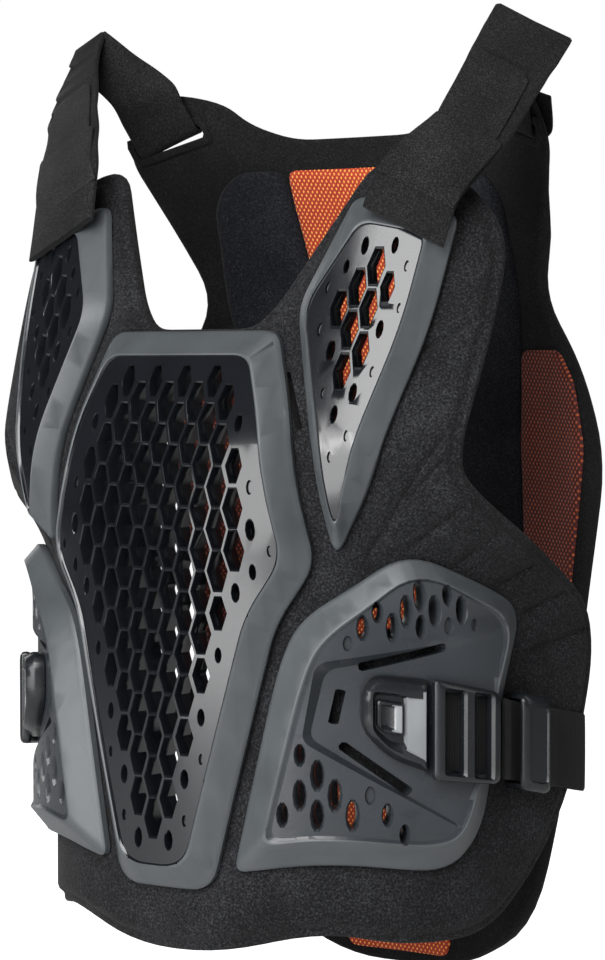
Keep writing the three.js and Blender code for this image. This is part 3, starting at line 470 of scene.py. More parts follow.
foam_cloth = speckled_cloth("foam_cloth", (0.003, 0.003, 0.0035), (0.042, 0.043, 0.047))
edge_cloth = speckled_cloth("edge_cloth", (0.003, 0.003, 0.0033), (0.02, 0.02, 0.021))
pad_cloth = speckled_cloth("pad_cloth", (0.003, 0.0033, 0.005), (0.03, 0.032, 0.04))
strap_cloth = speckled_cloth("strap_cloth", (0.003, 0.003, 0.0033), (0.03, 0.03, 0.031), 1100)
rim_plastic = moulded_plastic("rim_plastic", (0.06, 0.067, 0.072), 0.38, 0.35)
gloss_plastic = moulded_plastic("gloss_plastic", (0.006, 0.007, 0.009), 0.14, 0.03, 0.3)
rib_plastic = moulded_plastic("rib_plastic", (0.026, 0.03, 0.035), 0.27, 0.2)
buckle_plastic = moulded_plastic("buckle_plastic", (0.01, 0.011, 0.013), 0.26, 0.2)
# Plastic for the buckle's sloped facets: it is really glossy and coated, and its light grey colour is a
# painted reflection.
painted_reflection_plastic = moulded_plastic("painted_reflection_plastic", (0.2, 0.21, 0.22), 0.2, 0.02, 1.0)
black_webbing = ribbed_webbing("black_webbing", (0.003, 0.003, 0.0035), (0.012, 0.012, 0.0125), 1.4)
patch_cloth = speckled_cloth("patch_cloth", (0.003, 0.003, 0.0034), (0.04, 0.04, 0.041), 1250)
# The orange knit's first colour is its painted pore shade, its last the painted highlight on the rib crests.
orange_mesh = spacer_mesh("orange_mesh", (0.3, 0.02, 0.004), (0.72, 0.085, 0.012), (1.0, 0.5, 0.1))
# The wings' knit is a darker, redder copy of the orange knit: painted shade where little light reaches the
# wings, with its own painted highlight and pore shade.
shaded_wing_mesh = spacer_mesh("shaded_wing_mesh", (0.05, 0.004, 0.002), (0.17, 0.016, 0.006), (0.5, 0.11, 0.03))


# Outlines in use
front_rows = both_sides(corners(FRONT_PANEL, FRONT_ROWS))
chest_rows = both_sides(corners(CHEST_PLATE, CHEST_ROWS))
upper_rows = corners(UPPER_PLATE, UPPER_ROWS)
lower_rows = corners(LOWER_PLATE, LOWER_ROWS)
LOWER_FIELDS = {**LOWER_PLATE, "corner": 6}
pocket_rows = corners(LOWER_FIELDS, POCKET_ROWS)
rib_upper_rows = corners(LOWER_FIELDS, RIB_UPPER_ROWS)
rib_lower_rows = corners(LOWER_FIELDS, RIB_LOWER_ROWS)
back_rows = both_sides(corners(BACK_PANEL, BACK_ROWS))
back_plate_rows = both_sides(corners(BACK_PLATE, BACK_PLATE_ROWS))


# Grille cells: spacing and place of the lattice, size of a full cell, and how a cell opens
CHEST_CELL = {
    "pitch": 8.5, "rise": 20.7, "centre": 0, "z": -306, "half": 4.8, "shoulder": 2, "tall": 9.4,
    "fade": 15, "flare": 1.1, "draft": 0.9,
}
UPPER_CELL = {
    "pitch": 7.2, "rise": 20.6, "centre": 89.5, "z": -167, "half": 3.9, "shoulder": 1.8, "tall": 8.6,
    "fade": 13, "flare": 1.15, "draft": 0.85,
}
# Shares of a full cell: hexagons above one, cut right through above the other, and the least of all
HEXAGON_ABOVE = 0.78
THROUGH_ABOVE = 0.48
LEAST_CELL = 0.34
SOLID_BORDER = 2
SMALL_CELL = {"half": 0.66, "tall": 0.78, "blind": 1.6, "flare": 1.15, "draft": 0.85, "dish": 0.6}


def hexagon(u, z, half, shoulder, tall):
    upper = [(half, 0), (shoulder, tall), (-shoulder, tall)]
    lower = [(-half, 0), (-shoulder, -tall), (shoulder, -tall)]
    return [(u + x, z + y) for x, y in upper + lower]


def oval(u, z, half, tall, sides=10):
    turns = [2 * math.pi * k / sides for k in range(sides)]
    return [(u + half * math.cos(t), z + tall * math.sin(t)) for t in turns]


def lattice(field, pitch, rise, centre, z0):
    """Staggered columns of cell centres over the field."""
    us, zs = [p[0] for p in field], [p[1] for p in field]
    for i in range(math.floor((min(us) - centre) / pitch), math.ceil((max(us) - centre) / pitch) + 1):
        shift = 0.5 if i % 2 else 0
        for j in range(math.floor((min(zs) - z0) / rise) - 1, math.ceil((max(zs) - z0) / rise) + 1):
            yield centre + i * pitch, z0 + (j + shift) * rise


def cell_size(u, z, field, fade):
    """Full size deep in the field, smaller towards its border, none right at it."""
    if not within(u, z, field):
        return 0
    inner = edge_distance(u, z, field) - SOLID_BORDER
    return mix(LEAST_CELL, 1, smooth(inner / fade)) if inner > 0 else 0


def add_cell(cutter, shape, low, top, flare, draft, dish=0.9):
    """A hole that narrows downwards by the draft and flares at its dished mouth."""
    mouth = shape(flare)
    add_loft(cutter, [(shape(draft), low), (shape(1), top - dish), (mouth, top), (mouth, top + 4)])


def grille_cuts(field, cell, low, top):
    """Hexagons cut through where they are large, ovals near the border, the least of them blind."""
    cutter = bmesh.new()
    for u, z in lattice(field, cell["pitch"], cell["rise"], cell["centre"], cell["z"]):
        size = cell_size(u, z, field, cell["fade"])
        if size == 0:
            continue
        half, tall = cell["half"] * size, cell["tall"] * size

        def hexagon_at(k, u=u, z=z, half=half, tall=tall, size=size):
            return hexagon(u, z, half * k, cell["shoulder"] * size * k, tall * k)

        def oval_at(k, u=u, z=z, half=half, tall=tall):
            return oval(u, z, half * k * SMALL_CELL["half"], tall * k * SMALL_CELL["tall"])

        if size > HEXAGON_ABOVE:
            add_cell(cutter, hexagon_at, low, top, cell["flare"], cell["draft"])
        else:
            bottom = low if size > THROUGH_ABOVE else top - SMALL_CELL["blind"]
            shares = (SMALL_CELL["flare"], SMALL_CELL["draft"], SMALL_CELL["dish"])
            add_cell(cutter, oval_at, bottom, top, *shares)
    return cutter


# Plates: width of the raised rim, slope inside it, thickness of the pierced field, grid of the mesh
CHEST_SHELL = {"rim": 11.5, "lip": 1.4, "thick": 7, "grid": (7, 14)}
UPPER_SHELL = {"rim": 11, "lip": 1.4, "thick": 7.5, "grid": (9, 12)}
LOWER_SHELL = {"rim": 13, "lip": 2.2, "thick": 5.5, "grid": (6, 12)}
BACK_SHELL = {"rim": 14, "lip": 2.5, "thick": 4, "grid": (9, 14)}
CHEST_THICKER = {"by": 3, "from": 12, "over": 26}


def shell_levels(base, shell):
    """Rings of a plate, inset and height: the field's underside, foot, sloped rim, crest and field."""
    rim, lip, under = shell["rim"], shell["lip"], base + FIELD - shell["thick"]
    return [
        (rim + lip + 1.5, under),
        (rim + lip + 1, under),
        (rim, base + FIELD - 3.4),
        (3.2, base + 3),
        (2.4, base),
        (0.4, base),
        (0, base + 0.5),
        (0, base + 3.6),
        (0.9, base + 4.8),
        (2, base + 5.4),
        (rim - 0.8, base + CREST - 0.3),
        (rim, base + CREST),
        (rim + 0.7, base + CREST - 0.3),
        (rim + lip, base + FIELD),
        (rim + lip + 0.6, base + FIELD),
    ]


def shell_plate(rows, shell, base):
    return insets(rows, shell_levels(base, shell), 6)


def paint_field(bm, rows, inset, base):
    """The second material inside the outline's inset and above the base, the first one elsewhere."""
    ring = border(rows, inset)
    for face in bm.faces:
        middle = face.calc_center_median()
        face.material_index = 1 if within(middle.x, middle.z, ring) and middle.y > base else 0


def chest_plate():
    shell = CHEST_SHELL
    bm = shell_plate(chest_rows, shell, SEAT)
    field = border(chest_rows, shell["rim"] + shell["lip"] + 0.9)
    bm = cut(bm, grille_cuts(field, CHEST_CELL, SEAT, SEAT + FIELD))
    slice_flat(bm, *shell["grid"])
    underside = SEAT + FIELD - shell["thick"]
    for v in bm.verts:
        if abs(v.co.y - underside) < 0.05:
            aside = (abs(v.co.x) - CHEST_THICKER["from"]) / CHEST_THICKER["over"]
            v.co.y -= CHEST_THICKER["by"] * smooth(aside)
    paint_field(bm, chest_rows, shell["rim"] + 0.5, SEAT)
    lay(bm, on_front)
    piece("chest_grille_plate", bm, [rim_plastic, gloss_plastic], "plate", ["chest_plate"])


def upper_plate():
    shell = UPPER_SHELL
    bm = shell_plate(upper_rows, shell, SEAT)
    field = border(upper_rows, shell["rim"] + shell["lip"] + 0.6)
    bm = cut(bm, grille_cuts(field, UPPER_CELL, SEAT, SEAT + FIELD))
    slice_flat(bm, *shell["grid"])
    paint_field(bm, upper_rows, shell["rim"] + 0.5, SEAT)
    lay(bm, on_front)
    pair("upper_grille_plate", bm, [rim_plastic, gloss_plastic], "plate", "upper_plate")


# The rib plate's two fields: spacing and place of the lattice, and how far out the ovals shrink
RIB_UPPER = {"pitch": 6.2, "rise": 15.2, "centre": 115.5, "z": -304.5, "reach": 62}
RIB_LOWER = {"pitch": 7.3, "rise": 19.6, "centre": 85.5, "z": -394, "reach": 58}
RIB_OVAL = {"half": 2.3, "tall": 7.4, "draft": 0.9, "dish": 1.5, "blind": 2}
RIB_FIELD_OUT = 4.4
RIB_CREST = {"inset": 15.2, "clear": 1.6}
THROUGH_FROM = 5


def rib_cuts(cutter, rows, rib, low, top):
    """Dished ovals, largest in the middle of the field and blind towards its edge."""
    field = border(rows, -RIB_FIELD_OUT)
    crest = border(lower_rows, RIB_CREST["inset"])
    for u, z in lattice(field, rib["pitch"], rib["rise"], rib["centre"], rib["z"]):
        near = edge_distance(u, z, field)
        if near < SOLID_BORDER or not within(u, z, field):
            continue
        if edge_distance(u, z, crest) < RIB_CREST["clear"] or not within(u, z, crest):
            continue
        away = math.hypot(u - rib["centre"], z - rib["z"]) / rib["reach"]
        size = mix(0.5, 1, smooth((near - SOLID_BORDER) / 9)) * mix(1, 0.6, smooth(away))
        half, tall = RIB_OVAL["half"] * size ** 0.5, RIB_OVAL["tall"] * size
        spread = 1.4 if size > 0.45 else 1.25
        mouth = oval(u, z, half * spread, tall * mix(1, spread, 0.5))
        add_loft(cutter, [
            (oval(u, z, half * RIB_OVAL["draft"], tall * RIB_OVAL["draft"]),
             low if near > THROUGH_FROM else top - RIB_OVAL["blind"]),
            (oval(u, z, half, tall), top - RIB_OVAL["dish"]),
            (mouth, top + 0.05),
            (mouth, top + 4),
        ])


def bar(u, z, length, height, slope):
    """A slot's outline, with its corners cut."""
    along = Vector((1, slope)).normalized()
    up = Vector((-along.y, along.x))
    shares = [(-0.93, -1), (0.93, -1), (1, -0.5), (1, 0.5), (0.93, 1), (-0.93, 1), (-1, 0.5), (-1, -0.5)]
    return [Vector((u, z)) + along * (a * length / 2) + up * (b * height / 2) for a, b in shares]


# The pocket round the buckle's island: its floor rises outwards by a share of its depth
POCKET = {"depth": 5.2, "rise": 0.95, "from": 86, "over": 70, "slot_height": 4.6}
# Its slots: across and down the plate, length as a share of the plate's width, and slope
POCKET_SLOTS = [(0.53, 0.325, 0.27, 0.25), (0.335, 0.475, 0.12, 5), (0.45, 0.665, 0.27, -0.8)]


def level_pocket(bm, top):
    """The pocket's floor rises to the plate's face under the buckle."""
    ring = border(pocket_rows, 0.2)
    for v in bm.verts:
        if top - POCKET["depth"] - 0.1 < v.co.y < top and within(v.co.x, v.co.z, ring):
            rise = POCKET["rise"] * smooth((v.co.x - POCKET["from"]) / POCKET["over"])
            v.co.y = mix(v.co.y, top, rise)


def lower_plate():
    shell = LOWER_SHELL
    base, top = SEAT, SEAT + FIELD
    floor = top - POCKET["depth"]
    bm = shell_plate(lower_rows, shell, base)
    bm = cut(bm, insets(pocket_rows, [(5.6, floor), (5, floor), (0.6, top), (0, top + 4)]))
    holes = bmesh.new()
    rib_cuts(holes, rib_upper_rows, RIB_UPPER, base, top)
    rib_cuts(holes, rib_lower_rows, RIB_LOWER, base, top)
    for across, down, length, slope in POCKET_SLOTS:
        u = LOWER_PLATE["inner"] + LOWER_PLATE["width"] * across
        z = LOWER_PLATE["top"] - LOWER_PLATE["height"] * down
        ring = bar(u, z, LOWER_PLATE["width"] * length, POCKET["slot_height"], slope)
        add_loft(holes, [(ring, base - 1), (ring, top + 4)])
    bm = cut(bm, holes)
    slice_flat(bm, *shell["grid"])
    level_pocket(bm, top)
    paint_field(bm, lower_rows, shell["rim"] + 0.5, base)
    lay(bm, on_front)
    pair("lower_rib_plate", bm, [rim_plastic, rib_plastic], "plate", "lower_plate")


# Front foam: its rounded edge, windows behind the plates, and a slanted slot on each side
WINDOWS = {
    "chest": {"inset": 17, "flare": 1.6},
    "upper": {"inset": 14, "flare": 1.6},
    "ribs": {"inset": 1, "flare": 0.6},
}
FRONT_FOAM_LEVELS = [
    (6, -4), (2.6, -3.8), (0.5, -2.2), (0, 0), (0.5, 2.4), (1.6, 3.2), (4.6, 3.5), (5.8, 4.6),
    (7.2, 6.2), (9.5, 7),
]
FOAM_SLOT = {"across": 63, "z": -202, "length": 31, "height": 3.6, "slope": 2.33}


def window_cutter(rows, window):
    inset, flare = window["inset"], window["flare"]
    low, high = FRONT_FOAM["back"], FRONT_FOAM["face"]
    rings = [(inset, low - 1), (inset, high - flare), (inset - flare, high), (inset - flare, high + 1)]
    return insets(rows, rings)


# Grooves from one place (u, z) to another, on both sides
GROOVES = [
    ((98, -285), (150, -205)), ((108, -268), (156, -214)), ((120, -276), (176, -236)),
    ((142, -286), (196, -250)), ((166, -296), (222, -272)), ((180, -312), (238, -292)),
    ((184, -330), (240, -318)), ((118, -180), (152, -160)),
]
GROOVE = {"depth": 2.1, "half": 2.8, "fade": 10, "near": 9}


def along_groove(u, z, begin, end):
    """How far a point is beside a groove's middle, and how far from its nearer end."""
    run = Vector(end) - Vector(begin)
    travelled = (Vector((abs(u), z)) - Vector(begin)).dot(run.normalized())
    beside = abs((abs(u) - begin[0]) * run.y - (z - begin[1]) * run.x) / run.length
    return beside, min(travelled, run.length - travelled)


def faces_near(bm, side, begin, end):
    """Faces of the foam's front on one side that lie close to a groove."""
    near = []
    for face in bm.faces:
        middle = face.calc_center_median()
        beside, left = along_groove(middle.x, middle.z, begin, end)
        in_front = middle.y > FRONT_FOAM["grooved_above"] and middle.x * side > 0
        if in_front and beside < GROOVE["near"] and left > -2:
            near.append(face)
    return near


def slice_grooves(bm):
    """Cuts the foam's face along both sides and the middle of every groove."""
    for begin, end in GROOVES:
        for side in (-1, 1):
            run = Vector((side * (end[0] - begin[0]), 0, end[1] - begin[1])).normalized()
            across = Vector((run.z, 0, -run.x))
            start = Vector((side * begin[0], 0, begin[1]))
            for offset in (-GROOVE["half"], 0, GROOVE["half"]):
                near = faces_near(bm, side, begin, end)
                edges = {edge for face in near for edge in face.edges}
                verts = {vert for face in near for vert in face.verts}
                geom, at = [*verts, *edges, *near], start + across * offset
                bmesh.ops.bisect_plane(bm, geom=geom, plane_co=at, plane_no=across, dist=0.05)


def groove_depth(u, z):
    deepest = 0
    for begin, end in GROOVES:
        beside, left = along_groove(u, z, begin, end)
        share = max(0, 1 - beside / GROOVE["half"]) * smooth(left / GROOVE["fade"])
        deepest = max(deepest, GROOVE["depth"] * share)
    return deepest


def front_foam():
    bm = insets(front_rows, FRONT_FOAM_LEVELS)
    bm = cut(bm, window_cutter(chest_rows, WINDOWS["chest"]))
    for rows, place in ((upper_rows, "upper"), (rib_upper_rows, "ribs"), (rib_lower_rows, "ribs")):
        for sided in (rows, flipped(rows)):
            bm = cut(bm, window_cutter(sided, WINDOWS[place]))
    slots = bmesh.new()
    for side in (-1, 1):
        u, slope = side * FOAM_SLOT["across"], -FOAM_SLOT["slope"] * side
        ring = bar(u, FOAM_SLOT["z"], FOAM_SLOT["length"], FOAM_SLOT["height"], slope)
        add_loft(slots, [(ring, FRONT_FOAM["back"] - 2), (ring, FRONT_FOAM["face"] + 2)])
    bm = cut(bm, slots)
    slice_flat(bm, 5, 5)
    slice_grooves(bm)
    for v in bm.verts:
        if v.co.y > FRONT_FOAM["grooved_above"]:
            v.co.y -= groove_depth(v.co.x, v.co.z)
    lay(bm, on_front)
    piece("front_carrier_foam", bm, [foam_cloth], "foam", ["front_panel"], sharp=50, soft=1.0)


# Back foam and its liner, each level an inset and a height; the ears are thinner than the rest
BACK_FOAM_LEVELS = [
    (6, 0), (2, 0.3), (0.4, 1.6), (0, 4), (0, 7), (0.6, 9.6), (2.4, 10.8), (6, PANEL_THICKNESS),
]
PAD_LEVELS = [(2, -0.3), (0, -0.4), (0, -2), (0.8, -3.6), (2.4, -4.6), (5, -5.1), (12, -5.4)]
MESH_LEVELS = [(1.2, -0.3), (0, -0.5), (0, -1.6), (1.4, -2.6), (6, -2.9)]
EAR_THINNER = {"share": 0.45, "from": -125, "over": 40}
# Pads: down as a share of the carrier's height, inner edge and outer edge
LINER_ROWS = [
    (0.09, 47, 78.2), (0.125, 47, 95), (0.235, 42, 97.6), (0.4, 40, 88), (0.65, 44, 88), (0.88, 40, 73.6),
]
# Wings: down and outwards as shares of the carrier
WING_ROWS = [(0.295, 0.86), (0.33, 0.93), (0.4, 0.965), (0.5, 0.9), (0.65, 0.82)]


def back_foam():
    bm = insets(back_rows, BACK_FOAM_LEVELS)
    ears = bmesh.new()
    for side in (1, -1):
        slope = -side * math.tan(EAR["tilt"])
        ring = bar(side * EAR["across"], EAR["z"], EAR["length"], EAR["height"], slope)
        add_loft(ears, [(ring, -1), (ring, PANEL_THICKNESS + 1)])
    bm = cut(bm, ears)
    slice_flat(bm, 8, 12)
    for v in bm.verts:
        up = (v.co.z - EAR_THINNER["from"]) / EAR_THINNER["over"]
        v.co.y *= mix(1, EAR_THINNER["share"], smooth(up))
    lay(bm, on_back)
    piece("back_carrier_foam", bm, [edge_cloth], "foam", ["back_panel"], sharp=50, soft=1.0)


def ear_ring():
    """Embossed ring round the strap slot, on the inner face."""
    tilt = -math.tan(EAR["tilt"])

    def ring(grow):
        return bar(EAR["across"], EAR["z"], EAR["length"] + grow, EAR["height"] + grow, tilt)

    bm = loft([(ring(8.6), 0.3), (ring(8.6), -0.6), (ring(8), -1.2), (ring(7), -1.5)])
    bm = cut(bm, loft([(ring(0.2), 2), (ring(0.2), -0.6), (ring(2), -1.6), (ring(2), -3)]))
    lay(bm, on_back)
    pair("ear_ring", bm, [edge_cloth], "foam")


def liner_rows():
    top, tall = BACK_PANEL["top"], BACK_PANEL["height"]
    return [{"z": top - tall * down, "inner": inner, "outer": outer} for down, inner, outer in LINER_ROWS]


def band(rows, rounding=6):
    """The outline between the inner and the outer edges."""
    def corner(u, z):
        return {"u": u, "z": z, "round": rounding, "rim": 1}

    return [corner(r["inner"], r["z"]) for r in rows] + [corner(r["outer"], r["z"]) for r in reversed(rows)]


def back_pads():
    bm = insets(band(liner_rows(), 12), PAD_LEVELS)
    slice_flat(bm, 8, 10)
    lay(bm, on_back)
    pair("back_pad_cloth", bm, [pad_cloth], "foam", "back_pad", sharp=60, soft=1.0)


def back_mesh_centre():
    half = [{"u": r["inner"] - 0.6, "z": r["z"], "round": 6, "rim": 1} for r in liner_rows()]
    half.append({"u": 33, "z": BACK_PANEL["top"] - BACK_PANEL["height"] + 7, "round": 6, "rim": 1})
    bm = insets(both_sides(half), MESH_LEVELS)
    slice_flat(bm, 8, 10)
    lay(bm, on_back)
    piece("centre_spacer_mesh", bm, [orange_mesh], "mesh", ["back_mesh_centre"], sharp=60)


def pad_edge(z):
    """The pad's outer edge at a height."""
    rows = liner_rows()
    for a, b in zip(rows, rows[1:]):
        if b["z"] <= z:
            return mix(a["outer"], b["outer"], (z - a["z"]) / (b["z"] - a["z"]))
    return rows[-1]["outer"]


def back_mesh_wings():
    rows = []
    for down, across in WING_ROWS:
        z = BACK_PANEL["top"] - BACK_PANEL["height"] * down
        rows.append({"z": z, "inner": pad_edge(z) + 0.9, "outer": BACK_PANEL["width"] * across})
    bm = insets(band(rows), MESH_LEVELS)
    slice_flat(bm, 8, 10)
    lay(bm, on_back)
    pair("wing_spacer_mesh", bm, [shaded_wing_mesh], "mesh", "back_mesh", sharp=60)


# Slot pairs of the outer plate: the first one's length and what each next one loses, then their place
BACK_SLOTS = {"pairs": 4, "length": 48, "loss": 0.09, "height": 8, "slope": 0.35, "from_middle": 8}
BACK_SLOT_STEP = BACK_PLATE["height"] / 6


def back_slot(side, row, grow):
    length = BACK_SLOTS["length"] * (1 - BACK_SLOTS["loss"] * row)
    u = side * (length / 2 + BACK_SLOTS["from_middle"])
    z = BACK_PLATE["top"] - BACK_SLOT_STEP * (row + 1.3)
    return bar(u, z, length + grow, BACK_SLOTS["height"] + grow, side * BACK_SLOTS["slope"])


def outer_back_plate():
    base = PANEL_THICKNESS + 0.3
    top = base + FIELD
    bm = shell_plate(back_plate_rows, BACK_SHELL, base)
    holes = bmesh.new()
    for row in range(BACK_SLOTS["pairs"]):
        for side in (-1, 1):
            levels = [(-1, base - 1), (0, top - 1), (1.6, top), (1.6, top + 4)]
            add_loft(holes, [(back_slot(side, row, grow), h) for grow, h in levels])
    bm = cut(bm, holes)
    slice_flat(bm, *BACK_SHELL["grid"])
    lay(bm, on_back)
    piece("outer_back_plate", bm, [rim_plastic], "plate", ["back_plate"])


# Straps: a flat band swept through stations of centre, direction across, width and thickness
def catmull(p0, p1, p2, p3, t):
    return 0.5 * ((2 * p1) + (p2 - p0) * t + (2 * p0 - 5 * p1 + 4 * p2 - p3) * t * t
                  + (3 * p1 - p0 - 3 * p2 + p3) * t ** 3)


def smooth_stations(stations, steps, creased=()):
    """Stations along a curve through the given ones, straight into the creased ones."""
    out = []
    last = len(stations) - 1
    for i in range(last):
        a, b = stations[i], stations[i + 1]
        before = stations[i - 1] if i and i not in creased else a
        after = stations[i + 2] if i + 2 <= last and i + 1 not in creased else b
        for k in range(steps):
            t = k / steps
            out.append({
                **{key: catmull(before[key], a[key], b[key], after[key], t) for key in ("centre", "across")},
                **{key: mix(a[key], b[key], smooth(t)) for key in ("width", "thick", "outer")},
            })
    out.append(stations[-1])
    return out


PROFILE = [(-1, -0.4), (-1, 0.4), (-0.93, 1), (-0.5, 1.12), (0, 1.16), (0.5, 1.12), (0.93, 1),
           (1, 0.4), (1, -0.4), (0.93, -1), (0, -1), (-0.93, -1)]


def band_mesh(stations, wobble=None):
    """Sweeps the profile through the stations; wobble gives how far it lifts and spreads there."""
    bm = bmesh.new()
    run = bm.verts.layers.float_vector.new("run")
    rings, travelled = [], 0
    for i, s in enumerate(stations):
        before = stations[max(0, i - 1)]["centre"]
        after = stations[min(len(stations) - 1, i + 1)]["centre"]
        along = (after - before).normalized()
        across = s["across"].normalized()
        up = along.cross(across).normalized()
        if i:
            travelled += (s["centre"] - stations[i - 1]["centre"]).length
        ring = []
        for a, b in PROFILE:
            lift, spread = wobble(travelled, a) if wobble else (0, 0)
            reach = a * s["width"] / 2 * (s["outer"] if a > 0 else 1) + spread
            p = s["centre"] + across * reach + up * (b * s["thick"] / 2 + lift)
            v = bm.verts.new(p * MM)
            v[run] = Vector((travelled, a * s["width"] / 2, b)) * MM
            ring.append(v)
        rings.append([bm.edges.new((p, q)) for p, q in zip(ring, ring[1:] + ring[:1])])
    for low, high in zip(rings, rings[1:]):
        bmesh.ops.bridge_loops(bm, edges=low + high)
    for end in (rings[0], rings[-1]):
        bmesh.ops.contextual_create(bm, geom=end)
    bmesh.ops.recalc_face_normals(bm, faces=bm.faces)
    return bm


def ear_point(along, down, h):
    """A place beside the ear's slot, along it and down from it."""
    c, s = math.cos(EAR["tilt"]), math.sin(EAR["tilt"])
    return on_back(EAR["across"] + along * c - down * s, EAR["z"] - along * s - down * c, h)


# Through the ear: down from the slot, height off the form, and how far the outer edge drops
EAR_PASS = [
    (-28, -6, 0), (-15, -4.8, 0.4), (-6.5, -4.2, 1.2), (0.3, -2, 1.9), (0.3, 5.5, 1.9), (-1.2, 9.4, 0.8),
    (-6, 10.4, 0), (-18, 10.4, 0),
]
# Each strap: low end and rise on the chest, crown over the shoulder, and its slant on the chest.
# Path rows: share of the way up to the crown, width, share of the outer half kept, how far aside.
# Overlay rows: share of the way up, how far aside, width and thickness; a sleeve, then a narrower tab.
STRAPS = {
    "flat": {
        "low": (107, -117), "rise": (112, -92), "crown": (133, 11, -11), "slant": (0.86, 0.25, -0.45),
        "low_width": 46, "crown_width": 48, "crown_outer": 1, "fall_outer": 1,
        "path": [(0.25, 38, 1, 7), (0.5, 41, 1, 5), (0.75, 45, 1, 2), (0.88, 46.6, 1, 1)],
        "overlay": [
            (-0.08, 2, 44, 0.2), (0.08, 4, 42, 1.8), (0.3, 8.2, 39, 2.4), (0.315, 6.6, 34, 1.3),
            (0.46, 5, 35, 1.4), (0.66, 2.5, 36, 1.4), (0.7, 1.5, 33, 1.4), (0.72, 1, 26, 1.2),
        ],
    },
    "draped": {
        "low": (93, -118), "rise": (99, -90), "crown": (164, 11, -7), "slant": (0.94, 0.14, -0.42),
        "low_width": 54, "crown_width": 44, "crown_outer": 0.05, "fall_outer": 0.8,
        "path": [(0.25, 47, 1, 0), (0.5, 43, 0.9, 1), (0.72, 41, 0.6, 2), (0.88, 41, 0.08, 2)],
        "overlay": [
            (-0.08, 2, 50, 0.2), (0.06, 2, 47, 1.8), (0.26, 1.5, 45, 2.4), (0.275, 1, 37, 1.3),
            (0.45, 1, 35, 1.4), (0.56, 0, 31, 1.4), (0.61, -1, 27, 1.4), (0.63, -1.5, 20, 1.2),
        ],
    },
}
CROWN_SLANT = Vector((1, 0.05, -0.5)).normalized()
# The stations where a strap leaves the plate and where it folds over at the crown
RISE_STATION = 1
CROWN_STATION = 6
OVERLAY_LIFT = 3.1
PUCKER = {"from": 96, "to": 160, "pitch": 4.3, "lift": 2, "spread": 6}


def station(centre, across, width, thick=4.0, outer=1.0):
    return {"centre": centre, "across": across, "width": width, "thick": thick, "outer": outer}


def ear_stations():
    """Down the ear's inner face, through its slot and up again at its outer side."""
    stations = []
    for down, h, drop in EAR_PASS:
        across = ear_point(20, down + drop, h) - ear_point(-20, down - drop, h)
        stations.append(station(ear_point(0.5, down, h), across.normalized(), 38, 2.4))
    return stations


def strap_stations(strap):
    """From on top of the upper plate's rim, over the shoulder, to the ear."""
    plate_top = SEAT + CREST + 2.9
    low, rise = on_front(*strap["low"], plate_top), on_front(*strap["rise"], plate_top - 1)
    slant, crown = Vector(strap["slant"]).normalized(), Vector(strap["crown"])
    stations = [station(low, slant, strap["low_width"], 3.4), station(rise, slant, strap["low_width"] - 2)]
    for t, width, outer, aside in strap["path"]:
        across = slant.lerp(CROWN_SLANT, t)
        stations.append(station(rise.lerp(crown, t) + across * aside, across, width, outer=outer))
    stations.append(station(crown, CROWN_SLANT, strap["crown_width"], 3.4, strap["crown_outer"]))
    ear = ear_stations()
    ear_slant = (ear_point(1, 0, 0) - ear_point(-1, 0, 0)).normalized()
    fall = crown.lerp(ear[0]["centre"], 0.5)
    stations.append(station(fall, CROWN_SLANT.lerp(ear_slant, 0.5), 40, 3, strap["fall_outer"]))
    return stations + ear


def softened(travelled, a):
    """Faint waves along the strap."""
    return 0.35 * math.sin(travelled / 7 + a * 2) * smooth((travelled - 10) / 30), 0


def puckered(travelled, a):
    """Faint waves, and puckers on the outer half where the strap folds over the shoulder."""
    edge = smooth((a + 0.4) / 1.3)
    here = smooth((travelled - PUCKER["from"]) / 12) * smooth((PUCKER["to"] - travelled) / 8)
    pucker = abs(math.sin(travelled / PUCKER["pitch"] + 0.5 * math.sin(travelled / 11))) - 0.4
    lift = softened(travelled, a)[0] + PUCKER["lift"] * pucker * edge * here
    return lift, PUCKER["spread"] * pucker * smooth(a) * here


def overlay_stations(strap):
    """The overlay lies on the strap's outer face, and its low end fades into it."""
    path = strap_stations(strap)
    begin, end = path[RISE_STATION], path[CROWN_STATION]
    along = (end["centre"] - begin["centre"]).normalized()
    up = along.cross(end["across"]).normalized()
    outward = up if up.y < 0 else -up
    stations = []
    for t, aside, width, thick in strap["overlay"]:
        centre = begin["centre"].lerp(end["centre"], t) + outward * OVERLAY_LIFT * smooth((t + 0.1) / 0.16)
        centre = centre + begin["across"] * (aside - 2)
        stations.append(station(centre, begin["across"].lerp(end["across"], t), width, thick))
    return stations


def shoulder_straps():
    for side, form, wobble in (("left", "flat", softened), ("right", "draped", puckered)):
        strap = STRAPS[form]
        bm = band_mesh(smooth_stations(strap_stations(strap), 12, creased=(CROWN_STATION,)), wobble)
        patch = band_mesh(smooth_stations(overlay_stations(strap), 4))
        if side == "right":
            bm, patch = mirrored_now(bm), mirrored_now(patch)
        band_node, patch_node = f"shoulder_strap_{side}", f"strap_patch_{side}"
        piece(f"shoulder_strap_{side}_band", bm, [strap_cloth], "webbing", [band_node], sharp=50)
        piece(f"strap_overlay_{side}", patch, [patch_cloth], "webbing", [patch_node], sharp=50)


# Buckle, keeper and side strap, along a line that drops towards the back
def strap_z(u):
    return -360 - 0.2 * (u - 115)


def along_strap(rows, corner):
    """Corners from rows: across the chest, beside the strap's line, share of the rounding."""
    return [{"u": u, "z": strap_z(u) + side, "round": r * corner, "rim": 1} for u, side, r in rows]


